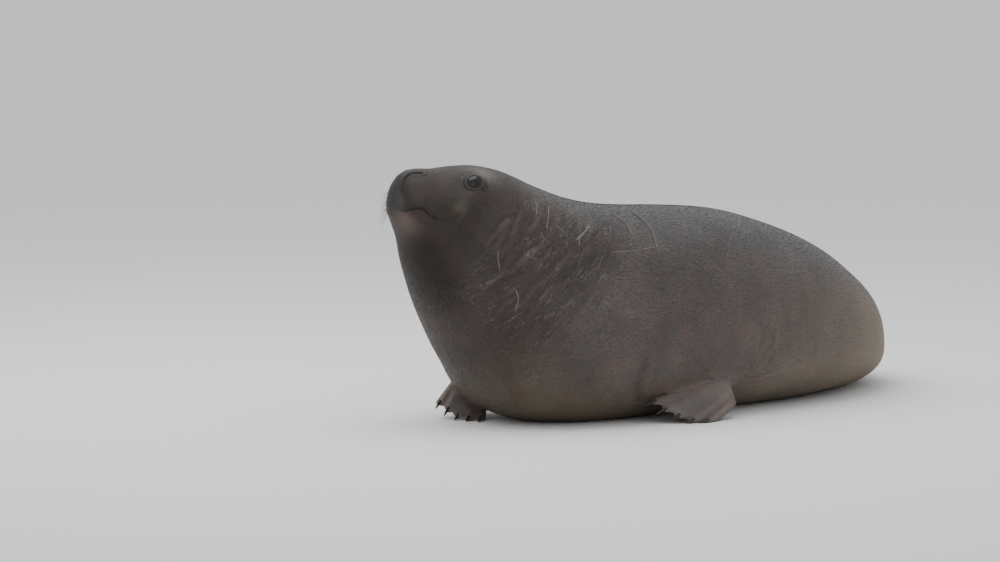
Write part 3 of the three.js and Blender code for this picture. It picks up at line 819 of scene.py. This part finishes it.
before, after = (plain_surface(np.clip(grid_t + step, 0, LAST), grid_angle)[0] for step in (-0.05, 0.05))
body_way = bend(after) - bend(before)
ways = [np.concatenate([body_way, body_way[:1], body_way[-1:]])]
for name, source in zip(FLIPPERS, sources[1:]):
    _, _, wrist, limb_way, _, _ = hand_frame(name)
    ways.append(np.tile(bend(wrist + limb_way) - bend(wrist), (len(source), 1)))
lie = np.concatenate(ways)[nearest]
lie /= np.maximum(np.linalg.norm(lie, axis=1, keepdims=True), 1e-9)
store("lie", lie)
hair = smooth(0.004, 0.012, world[:, 2])
for side in (1, -1):
    hair *= smooth(1.3, 1.7, round_eye(side))
    hair *= smooth(6, 11, line_distance(unbent, NOSTRIL * [1, side, 1]))
hair *= np.where(on_body, 1 - smooth(7, 3, np.abs(from_mouth)) * (along < 5), 1)
for places, half in SCARS:
    off_scar = line_distance(unbent, plain_surface(*trace(places))[0])
    hair *= np.where(on_body, 1 - 0.9 * bell(off_scar, half + 6), 1)
hair_size = np.where(on_body, 0.4 + 0.6 * smooth(3, 9.5, along), 0.5)
store("hair_size", hair_size)
print("attributes:", [a.name for a in shaped.attributes])

# %% [markdown]
# Small hairs stand closer than large ones, so the number on a patch of skin goes with its area and
# the inverse square of the hair's size. The coat is made in four pieces with the same number of
# tufts in each, so none gets too heavy. A piece takes the points of the hide between two quarters
# of that number, counted from the nose to the hind flippers.

# %% Shares of the coat
COAT_PIECES = ["coat_head", "coat_chest", "coat_flank", "coat_rear"]
TUFTS_EACH = 48500
weight = np.zeros(len(world))
for panel in shaped.polygons:
    corners = list(panel.vertices)
    weight[corners] += panel.area / len(corners)
hair_count = weight * hair / hair_size**2
order = np.argsort(np.where(on_body, along, LAST + 1), kind="stable")
quarter = np.empty(len(world), int)
share = np.cumsum(hair_count[order]) / hair_count.sum()
quarter[order] = np.minimum((share * len(COAT_PIECES)).astype(int), len(COAT_PIECES) - 1)
hair_density = TUFTS_EACH * len(COAT_PIECES) / hair_count.sum()
for i, name in enumerate(COAT_PIECES):
    store(name, hair_density * hair / hair_size**2 * (quarter == i))
print("tufts to a square centimetre of flank:", round(hair_density / 1e4, 2))

# %% [markdown]
# A material is a graph of nodes. This one starts from the stored colour and breaks it up with
# noises: one round for mottling, one drawn out along the body for streaks of wet hair, and on the
# neck one drawn out round the body, whose level lines are fine pale wrinkles. The same noises drive
# the bump, so the streaks catch the light, and a wave over the fan of folds at the armpit adds fine
# pleats to it.


# %% Small helpers for materials
def new_material(name):
    material = bpy.data.materials.new(name)
    material.use_nodes = True
    tree = material.node_tree
    return material, tree.nodes, tree.links, tree.nodes["Principled BSDF"]


def plug(links, value, socket):
    """Links a socket's value in, or sets a plain one."""
    if isinstance(value, bpy.types.NodeSocket):
        links.new(value, socket)
    else:
        socket.default_value = value


def add_node(nodes, links, kind, **inputs):
    made = nodes.new(kind)
    for key, value in inputs.items():
        plug(links, value, made.inputs[key.replace("_", " ")])
    return made


def math_node(nodes, links, operation, a, b=0.0, clamp=False):
    made = nodes.new("ShaderNodeMath")
    made.operation, made.use_clamp = operation, clamp
    plug(links, a, made.inputs[0])
    plug(links, b, made.inputs[1])
    return made.outputs[0]


def vector_node(nodes, links, operation, a, b):
    made = nodes.new("ShaderNodeVectorMath")
    made.operation = operation
    plug(links, a, made.inputs[0])
    plug(links, b, made.inputs["Scale" if operation == "SCALE" else 1])
    return made.outputs["Value" if operation == "DOT_PRODUCT" else 0]


print("material helpers ready")


# %% Wet hide
def attribute_node(nodes, name):
    made = nodes.new("ShaderNodeAttribute")
    made.attribute_name = name
    return made


def multiply_add(nodes, links, value, factor, offset):
    made = math_node(nodes, links, "MULTIPLY_ADD", value, factor)
    made.node.inputs[2].default_value = offset
    return made


def fade_node(nodes, links, value, full, none):
    """1 where the value is at full, 0 where it is at none."""
    made = add_node(nodes, links, "ShaderNodeMapRange", Value=value)
    made.interpolation_type = "SMOOTHSTEP"
    made.inputs["From Min"].default_value = none
    made.inputs["From Max"].default_value = full
    return made.outputs["Result"]


def noise_node(nodes, links, place, scale, detail, stretch=None, distortion=0.0):
    if stretch:
        place = add_node(nodes, links, "ShaderNodeMapping", Vector=place, Scale=stretch).outputs[0]
    made = add_node(nodes, links, "ShaderNodeTexNoise", Vector=place, Scale=scale, Detail=detail)
    made.inputs["Distortion"].default_value = distortion
    made.inputs["Roughness"].default_value = 0.6
    return made.outputs["Fac"]


def hide_material(name):
    material, nodes, links, shader = new_material(name)
    pelt = attribute_node(nodes, "pelt").outputs["Vector"]
    here = nodes.new("ShaderNodeTexCoord").outputs["Object"]
    loose = attribute_node(nodes, "loose").outputs["Fac"]
    streak = noise_node(nodes, links, pelt, 3.0, 6.0, (14, 90, 0))
    mottle = noise_node(nodes, links, here, 7.0, 7.0)
    blotch = noise_node(nodes, links, here, 16.0, 4.0)
    grain = noise_node(nodes, links, here, 160.0, 3.0)
    ringed = noise_node(nodes, links, pelt, 1.0, 3.0, (0, 6, 62), 1.1)
    off_line = math_node(nodes, links, "ABSOLUTE", math_node(nodes, links, "SUBTRACT", ringed, 0.5))
    wrinkle = fade_node(nodes, links, off_line, 0.0, 0.05)
    wrinkle = math_node(nodes, links, "MULTIPLY", wrinkle, fade_node(nodes, links, blotch, 0.4, 0.6))
    wrinkle = math_node(nodes, links, "MULTIPLY", wrinkle, loose)

    streaked = multiply_add(nodes, links, streak, 0.45, 0.76)
    level = math_node(nodes, links, "MULTIPLY", streaked, multiply_add(nodes, links, mottle, 1.3, 0.32))
    level = math_node(nodes, links, "ADD", level, math_node(nodes, links, "MULTIPLY", wrinkle, 1.15))
    hue = add_node(nodes, links, "ShaderNodeValToRGB", Fac=blotch)
    hue.color_ramp.elements[0].position, hue.color_ramp.elements[1].position = 0.35, 0.65
    hue.color_ramp.elements[0].color = (0.88, 0.98, 0.9, 1)
    hue.color_ramp.elements[1].color = (1.1, 0.98, 0.92, 1)
    tone_here = attribute_node(nodes, "tone").outputs["Color"]
    tinted = vector_node(nodes, links, "MULTIPLY", tone_here, hue.outputs[0])
    links.new(vector_node(nodes, links, "SCALE", tinted, level), shader.inputs["Base Color"])
    links.new(multiply_add(nodes, links, mottle, 0.35, 0.32), shader.inputs["Roughness"])

    def times(value, factor):
        return math_node(nodes, links, "MULTIPLY", value, factor)

    fan = nodes.new("ShaderNodeSeparateXYZ")
    links.new(attribute_node(nodes, "fan").outputs["Vector"], fan.inputs[0])
    turns = math_node(nodes, links, "ADD", times(fan.outputs[0], 52.0), times(streak, 5.0))
    pleat = times(math_node(nodes, links, "SINE", turns), fan.outputs[2])
    height = math_node(nodes, links, "ADD", streak, times(grain, 0.25))
    height = math_node(nodes, links, "ADD", height, times(wrinkle, 1.2))
    height = math_node(nodes, links, "ADD", height, times(pleat, 0.9))
    relief = add_node(nodes, links, "ShaderNodeBump", Height=height, Strength=0.5, Distance=0.004)
    links.new(relief.outputs[0], shader.inputs["Normal"])
    shader.inputs["Specular IOR Level"].default_value = 0.2
    shader.inputs["Coat Weight"].default_value = 0.05
    shader.inputs["Coat Roughness"].default_value = 0.25
    return material


hide.data.materials.append(hide_material("wet hide"))
hide.name = "seal_hide"
FLESH = ["head", "neck", "chest", "loin", "hindquarters", "tail"]
FLESH += [f"{limb}_flipper_{side}" for limb in ("fore", "hind") for side in ("left", "right")]
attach(hide, "root")
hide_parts(*FLESH)
print("hide replaces", len(FLESH), "nodes")

# %% [markdown]
# The eye is a whole ball, as on the real animal, with a very dark brown iris and a wide pupil under
# a glossy cornea. The colour depends on the angle from the eye's axis, measured in the ball's own
# coordinates.


# %% Eyes
def eye_material(name, centre, axis):
    material, nodes, links, shader = new_material(name)
    here = nodes.new("ShaderNodeTexCoord").outputs["Object"]
    offset = vector_node(nodes, links, "SUBTRACT", here, centre)
    facing = vector_node(nodes, links, "DOT_PRODUCT", offset, axis)
    share = math_node(nodes, links, "DIVIDE", facing, EYE_RADIUS * MM)
    ramp = add_node(nodes, links, "ShaderNodeValToRGB", Fac=share)
    ramp.color_ramp.elements[0].position = 0.66
    ramp.color_ramp.elements[0].color = (0.05, 0.035, 0.028, 1)
    ramp.color_ramp.elements[1].position = 0.9
    ramp.color_ramp.elements[1].color = (0.006, 0.005, 0.005, 1)
    iris = ramp.color_ramp.elements.new(0.74)
    iris.color = (0.028, 0.018, 0.012, 1)
    links.new(ramp.outputs[0], shader.inputs["Base Color"])
    shader.inputs["Roughness"].default_value = 0.22
    shader.inputs["Specular IOR Level"].default_value = 0.3
    shader.inputs["Coat Weight"].default_value = 0.1
    shader.inputs["Coat Roughness"].default_value = 0.08
    return material


def ball_mesh(centre, radius, sides=40, rows=24):
    turns = 2 * np.pi * np.arange(sides) / sides
    rings = []
    for polar in np.pi * np.arange(1, rows) / rows:
        around, high = math.sin(polar), np.full(sides, math.cos(polar))
        ring = np.stack([around * np.cos(turns), around * np.sin(turns), high], 1)
        rings.append(centre + radius * ring)
    places = np.concatenate(rings + [[centre + [0, 0, radius], centre - [0, 0, radius]]])
    top, bottom = len(places) - 2, len(places) - 1
    quads = [quad[::-1] for quad in tube_bands(rows - 1, sides)]
    quads += [[k, (k + 1) % sides, top] for k in range(sides)]
    last = top - sides
    quads += [[last + (k + 1) % sides, last + k, bottom] for k in range(sides)]
    return places, quads


for side, name in ((1, "left"), (-1, "right")):
    centre, axis, _, _ = eye_frame(side)
    world_centre = bend(centre)
    world_axis = unit(bend(centre + axis) - world_centre)
    places, quads = ball_mesh(world_centre, EYE_RADIUS * MM)
    eye = new_object(f"eye_{name}_ball", places, quads, straight=False)
    eye.data.materials.append(eye_material(f"eye {name}", world_centre, world_axis))
    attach(eye, "root")
    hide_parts(f"eye_{name}")
    print("eye", name, "at", world_centre.round(3))

# %% [markdown]
# Each fore flipper has five dark claws, rooted in the skin just behind the digits' tips. Each is a
# cone drawn along its digit that curves down to the floor. Like the whiskers and the scars, it is a
# tube of rings with its two ends capped.

# %% Claws
CLAW = dict(length=42, radius=6.5, back=16, drop=0.5, lift=2)


def capped_tube(rings):
    """Points and faces of a closed tube through those rings of points."""
    sides = len(rings[0])
    quads = tube_bands(len(rings), sides)
    quads += [list(range(sides))[::-1], list(range((len(rings) - 1) * sides, len(rings) * sides))]
    return np.concatenate(rings), quads


def claw_mesh(name, digit, sides=14, steps=10):
    v = DIGITS_AT[digit]
    tip = hand_point(name, 1.0, v)
    way = unit(tip - hand_point(name, 0.7, v))
    upward = unit(np.array([0, 0, 1]) - way[2] * way)
    across = np.cross(way, upward)
    turns = 2 * np.pi * np.arange(sides) / sides
    rings = []
    for r in range(steps + 1):
        u = r / steps
        radius = CLAW["radius"] * math.sqrt(1 - 0.97 * u)
        centre = tip + way * (u * CLAW["length"] - CLAW["back"])
        centre[2] = max(centre[2] + CLAW["radius"] * CLAW["drop"] * (1 - u * u), radius + CLAW["lift"])
        ring = np.outer(0.85 * np.cos(turns), across) + np.outer(np.sin(turns), upward)
        rings.append(centre + radius * ring)
    return capped_tube(rings)


def plain_material(name, colour, roughness):
    material, nodes, links, shader = new_material(name)
    here = nodes.new("ShaderNodeTexCoord").outputs["Object"]
    noise = add_node(nodes, links, "ShaderNodeTexNoise", Vector=here, Scale=120.0, Detail=4.0)
    ramp = add_node(nodes, links, "ShaderNodeValToRGB", Fac=noise.outputs["Fac"])
    ramp.color_ramp.elements[0].color = [0.7 * c for c in colour] + [1]
    ramp.color_ramp.elements[1].color = [1.25 * c for c in colour] + [1]
    links.new(ramp.outputs[0], shader.inputs["Base Color"])
    shader.inputs["Roughness"].default_value = roughness
    shader.inputs["Specular IOR Level"].default_value = 0.25
    return material


horn = plain_material("claw horn", [0.03, 0.024, 0.02], 0.35)
for side in ("left", "right"):
    for digit in range(5):
        places, quads = claw_mesh(f"fore_{side}", digit)
        claw = new_object(f"claw_{side}_{digit + 1}_horn", places, quads)
        claw.data.materials.append(horn)
        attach(claw, "root")
        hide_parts(f"claw_{side}_{digit + 1}")
print("claws: 10")

# %% [markdown]
# Whiskers are stiff hairs in five rows on the pads beside the nose, with four above each eye. They
# are thick enough to be modelled one by one: each is a tapered tube that leaves the skin and
# droops. All of them make one piece.

# %% Whiskers
rng = np.random.default_rng(11)


def hair_tube(start, way, length, radius, droop, sides=5, steps=7):
    across = unit(np.cross(way, [0.2, 0.1, 1.0]))
    upward = np.cross(way, across)
    turns = 2 * np.pi * np.arange(sides) / sides
    rings = []
    for r in range(steps + 1):
        u = r / steps
        bow = length * u * u * np.array([0.12, 0, -droop])
        size = radius * (1 - 0.85 * u)
        ring = np.outer(size * np.cos(turns), across) + np.outer(size * np.sin(turns), upward)
        rings.append(start + way * (length * (u - 0.06)) + bow + ring)
    return capped_tube(rings)


def skin_way(t, angle):
    """A point of the skin and the way out of it."""
    t, angle = np.array([t]), np.array([angle])
    return skin_surface(t, angle)[0], plain_surface(t, angle)[1][0]


def as_one(meshes):
    """Several small meshes as one."""
    firsts = np.cumsum([0] + [len(places) for places, _ in meshes])
    quads = [[first + q for q in quad] for first, (_, faces) in zip(firsts, meshes) for quad in faces]
    return np.concatenate([places for places, _ in meshes]), quads


hairs = []
for side in (1, -1):
    for row in range(5):
        for i in range(6 - row % 2):
            t = 1.55 + 0.36 * i + 0.12 * (row % 2) + rng.uniform(-0.04, 0.04)
            angle = side * (1.38 + 0.15 * row - 0.015 * i)
            p, out = skin_way(t, angle)
            length = (38 + 13 * i) * rng.uniform(0.8, 1.15)
            way = unit(out * [0.8, 1, 0.5] + [-0.1, 0, -0.25] + rng.normal(0, 0.08, 3))
            hairs.append(hair_tube(p, way, length, 0.5, rng.uniform(0.3, 0.55)))
    for k in range(4):
        p, out = skin_way(5.05 + 0.14 * k, side * (0.62 + 0.02 * k))
        way = unit(out + [0, 0, 0.2] + rng.normal(0, 0.1, 3))
        hairs.append(hair_tube(p, way, 26 + 5 * k, 0.45, 0.3))
whiskers = new_object("whiskers", *as_one(hairs))
whiskers.data.materials.append(plain_material("whisker", [0.022, 0.018, 0.015], 0.5))
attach(whiskers, "root")
print("whiskers:", len(hairs))

# %% [markdown]
# A scar is a slightly raised, paler and hairless welt. Each is a thin flat ribbon, pointed at its
# ends and laid along its line over the skin. It could be painted in the material instead, but a
# real edge catches the light.


# %% Scars
def ribbon(places, half, sides=8, count=22):
    t, angle = trace(places, count)
    centre = skin_surface(t, angle, sink=1.1)
    out = plain_surface(t, angle)[1]
    way = np.gradient(centre, axis=0)
    across = np.cross(way, out)
    across /= np.linalg.norm(across, axis=1, keepdims=True)
    size = np.sqrt(np.clip(1 - np.linspace(-0.99, 0.99, count) ** 4, 0.02, 1))
    size = size * (0.8 + 0.2 * np.sin(np.linspace(0, 9, count)))
    turns = 2 * np.pi * np.arange(sides) / sides
    wide = (size[:, None] * half * np.cos(turns))[..., None] * across[:, None]
    high = (size[:, None] * 0.9 * np.sin(turns))[..., None] * out[:, None]
    return capped_tube(list(centre[:, None] + wide + high))


scars = new_object("scars", *as_one([ribbon(places, half) for places, half in SCARS]))
scars.data.materials.append(plain_material("scar", [0.175, 0.148, 0.135], 0.55))
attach(scars, "root")
print("scars:", len(SCARS))

# %% [markdown]
# The coat is short, stiff and wet: it lies flat towards the tail. The bump shows most of it, and
# small tufts break the form along every edge and fold. Geometry Nodes grows them: points scattered
# over the hide by the stored thickness, a three-sided spike on each, turned along the stored lie of
# the hair, scaled by the stored size, and made real. Each spike keeps the colour at its root, and
# its own small patch of the hide's unwrap as a UV map.


# %% A tree of nodes that grows tufts
PATCH = 0.003


def coat_tree():
    tree = bpy.data.node_groups.new("short coat", "GeometryNodeTree")
    inputs = {"Geometry": "Geometry", "Where": "String", "Length": "Float", "Width": "Float", "Lift": "Float"}
    for label, kind in {**inputs, "Seed": "Int", "Material": "Material"}.items():
        tree.interface.new_socket(label, in_out="INPUT", socket_type="NodeSocket" + kind)
    tree.interface.new_socket("Geometry", in_out="OUTPUT", socket_type="NodeSocketGeometry")
    nodes, links = tree.nodes, tree.links
    given = nodes.new("NodeGroupInput").outputs

    def node(kind, settings=None, **values):
        made = nodes.new(kind)
        for key, value in (settings or {}).items():
            setattr(made, key, value)
        for key, value in values.items():
            plug(links, value, made.inputs[key.replace("_", " ")])
        return made

    def named(label, kind):
        made = node("GeometryNodeInputNamedAttribute", {"data_type": kind})
        plug(links, label, made.inputs["Name"])
        return made.outputs["Attribute"]

    def vector(operation, a, b=None, scale=None):
        made = node("ShaderNodeVectorMath", {"operation": operation})
        plug(links, a, made.inputs[0])
        if b is not None:
            plug(links, b, made.inputs[1])
        if scale is not None:
            plug(links, scale, made.inputs["Scale"])
        return made.outputs[0]

    def number(operation, a, b):
        made = node("ShaderNodeMath", {"operation": operation})
        plug(links, a, made.inputs[0])
        plug(links, b, made.inputs[1])
        return made.outputs[0]

    def store_node(label, kind, value, geometry, domain="POINT"):
        settings = {"data_type": kind, "domain": domain}
        made = node("GeometryNodeStoreNamedAttribute", settings, Geometry=geometry, Name=label)
        plug(links, value, made.inputs["Value"])
        return made.outputs[0]

    def random_number(low, high, offset):
        made = node("FunctionNodeRandomValue", {"data_type": "FLOAT"})
        plug(links, low, made.inputs[2])
        plug(links, high, made.inputs[3])
        plug(links, number("ADD", given["Seed"], offset), made.inputs["Seed"])
        return made.outputs[1]

    density = named(given["Where"], "FLOAT")
    scatter = node(
        "GeometryNodeDistributePointsOnFaces", Mesh=given["Geometry"], Density=density, Seed=given["Seed"]
    )
    points = store_node("up", "FLOAT_VECTOR", scatter.outputs["Normal"], scatter.outputs["Points"])
    up = named("up", "FLOAT_VECTOR")
    sunk = node("GeometryNodeSetPosition", Geometry=points, Offset=vector("SCALE", up, scale=-0.0005))

    stray = node("FunctionNodeRandomValue", {"data_type": "FLOAT_VECTOR"})
    plug(links, (-0.2, -0.2, -0.2), stray.inputs[0])
    plug(links, (0.2, 0.2, 0.2), stray.inputs[1])
    plug(links, given["Seed"], stray.inputs["Seed"])
    way = vector("ADD", named("lie", "FLOAT_VECTOR"), stray.outputs[0])
    flat = vector("SUBTRACT", way, vector("PROJECT", way, up))
    raised = vector("ADD", vector("NORMALIZE", flat), vector("SCALE", up, scale=given["Lift"]))
    turned = node("FunctionNodeAlignRotationToVector", {"axis": "Z"}, Vector=raised)
    facing = {"axis": "Y", "pivot_axis": "Z"}
    turned = node("FunctionNodeAlignRotationToVector", facing, Rotation=turned.outputs[0], Vector=up)

    spike = node("GeometryNodeMeshCone", Vertices=3, Radius_Top=0.0, Radius_Bottom=1.0, Depth=1.0)
    place = node("GeometryNodeInputPosition").outputs[0]
    spike = store_node("spot", "FLOAT_VECTOR", place, spike.outputs["Mesh"])
    size = number("MULTIPLY", named("hair_size", "FLOAT"), random_number(0.7, 1.25, 1))
    scale = node("ShaderNodeCombineXYZ")
    plug(links, number("MULTIPLY", given["Width"], size), scale.inputs[0])
    plug(links, number("MULTIPLY", given["Width"], number("MULTIPLY", size, 0.3)), scale.inputs[1])
    plug(links, number("MULTIPLY", given["Length"], size), scale.inputs[2])
    tufts = node(
        "GeometryNodeInstanceOnPoints",
        Points=sunk.outputs[0],
        Instance=spike,
        Rotation=turned.outputs[0],
        Scale=scale.outputs[0],
    )
    shaded = store_node("shade", "FLOAT", random_number(0.7, 1.15, 2), tufts.outputs[0], "INSTANCE")
    real = node("GeometryNodeRealizeInstances", Geometry=shaded)

    spot = node("ShaderNodeSeparateXYZ")
    plug(links, named("spot", "FLOAT_VECTOR"), spot.inputs[0])
    beside = number("MULTIPLY", spot.outputs[0], PATCH / 2)
    aslant = number("MULTIPLY", spot.outputs[1], PATCH / 3)
    patch = node("ShaderNodeCombineXYZ")
    plug(links, number("ADD", beside, aslant), patch.inputs[0])
    plug(links, number("MULTIPLY", spot.outputs[2], PATCH), patch.inputs[1])
    unwrapped = vector("ADD", named("unwrap", "FLOAT_VECTOR"), patch.outputs[0])
    sheet = store_node("OFBake", "FLOAT2", unwrapped, real.outputs[0], "CORNER")
    done = node("GeometryNodeSetMaterial", Geometry=sheet, Material=given["Material"])
    links.new(done.outputs[0], nodes.new("NodeGroupOutput").inputs[0])
    return tree


short_coat = coat_tree()
print("coat tree:", len(short_coat.nodes), "nodes")


# %% Wet hair
def hair_material(name):
    material, nodes, links, shader = new_material(name)
    tone_here = attribute_node(nodes, "tone").outputs["Color"]
    shade = attribute_node(nodes, "shade").outputs["Fac"]
    links.new(vector_node(nodes, links, "SCALE", tone_here, shade), shader.inputs["Base Color"])
    shader.inputs["Roughness"].default_value = 0.5
    shader.inputs["Specular IOR Level"].default_value = 0.15
    return material


# %% Pieces of the coat
HAIR = dict(length=13, width=1.1, lift=0.12)
wet_hair = hair_material("wet hair")


def grow_coat(name, seed):
    """A piece of the coat, with the tufts that its own attribute on the hide asks for."""
    made = bpy.data.objects.new(name, hide.data.copy())
    bpy.context.scene.collection.objects.link(made)
    modifier = made.modifiers.new("coat", "NODES")
    modifier.node_group = short_coat
    wanted = {
        "Where": name,
        "Length": HAIR["length"] * MM,
        "Width": HAIR["width"] * MM,
        "Lift": HAIR["lift"],
        "Seed": seed,
        "Material": wet_hair,
    }
    for item in short_coat.interface.items_tree:
        if item.in_out == "INPUT" and item.name in wanted:
            modifier[item.identifier] = wanted[item.name]
    grown = bpy.data.meshes.new_from_object(made.evaluated_get(bpy.context.evaluated_depsgraph_get()))
    made.modifiers.clear()
    made.data = grown
    grown.name = name
    for spare in ("up", "spot", "lie", "pelt", "fan", "loose", "hair_size", *COAT_PIECES):
        if spare in grown.attributes:
            grown.attributes.remove(grown.attributes[spare])
    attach(made, "root")
    print(name, "tufts:", len(grown.polygons) // 4, "maps:", [m.name for m in grown.uv_layers])


for seed, name in enumerate(COAT_PIECES):
    grow_coat(name, seed + 3)

# %% [markdown]
# A plain pale floor and wide soft lights leave the eye nothing but the animal, as in a museum. The
# camera is far off with a long lens, as in the photograph, a little above the floor and ahead of
# the seal's left shoulder.

# %% Floor
bpy.ops.mesh.primitive_plane_add(size=80, location=(0, 0, 0))
floor = bpy.context.object
floor.name = "floor"
floor_material, _, _, floor_shader = new_material("pale floor")
floor_shader.inputs["Base Color"].default_value = (0.78, 0.77, 0.75, 1)
floor_shader.inputs["Roughness"].default_value = 0.9
floor.data.materials.append(floor_material)

# %% Light
world_shade = bpy.data.worlds.new("pale room")
world_shade.use_nodes = True
world_shade.node_tree.nodes["Background"].inputs["Color"].default_value = (0.86, 0.89, 0.92, 1)
world_shade.node_tree.nodes["Background"].inputs["Strength"].default_value = 1.1
bpy.context.scene.world = world_shade


def soft_light(name, place, aim, size, power):
    lamp = bpy.data.lights.new(name, "AREA")
    lamp.shape, lamp.size, lamp.energy = "DISK", size, power
    made = bpy.data.objects.new(name, lamp)
    made.location = place
    made.rotation_euler = (Vector(aim) - Vector(place)).to_track_quat("-Z", "Y").to_euler()
    bpy.context.scene.collection.objects.link(made)


soft_light("overhead", (-1.0, 0.8, 4.5), (0, 0, 0.4), 5.0, 190)
soft_light("front", (-5.0, -4.0, 2.6), (-0.4, 0, 0.4), 3.0, 18)
print("lights: 2")

# %% Camera
AZIMUTH, ELEVATION, DISTANCE = math.radians(-42), math.radians(4), 15
FOCAL_PIXELS, PICTURE_WIDTH, PICTURE_MIDDLE = 4918, 1000, (500, 281)
EYE_PIXEL = (473, 183)
EYE_OPENING = np.array([195.0, -138.0, 757.0])
FILM_WIDTH = 36
level = math.cos(ELEVATION)
back = np.array([math.sin(AZIMUTH) * level, -math.cos(AZIMUTH) * level, math.sin(ELEVATION)])
right = np.array([math.cos(AZIMUTH), math.sin(AZIMUTH), 0])
upright = np.cross(back, right)
off_middle = [middle - pixel for middle, pixel in zip(PICTURE_MIDDLE, EYE_PIXEL)]
aim = -back * FOCAL_PIXELS + right * off_middle[0] - upright * off_middle[1]
camera_data = bpy.data.cameras.new("camera")
camera_data.sensor_width = FILM_WIDTH
camera_data.lens = FOCAL_PIXELS * FILM_WIDTH / PICTURE_WIDTH
camera_data.clip_end = 200
camera = bpy.data.objects.new("camera", camera_data)
camera.location = bend(EYE_OPENING) + back * DISTANCE
camera.rotation_euler = Vector(aim).to_track_quat("-Z", "Y").to_euler()
bpy.context.scene.collection.objects.link(camera)
bpy.context.scene.camera = camera
print("camera at", [round(c, 2) for c in camera.location], "lens", round(camera_data.lens), "mm")
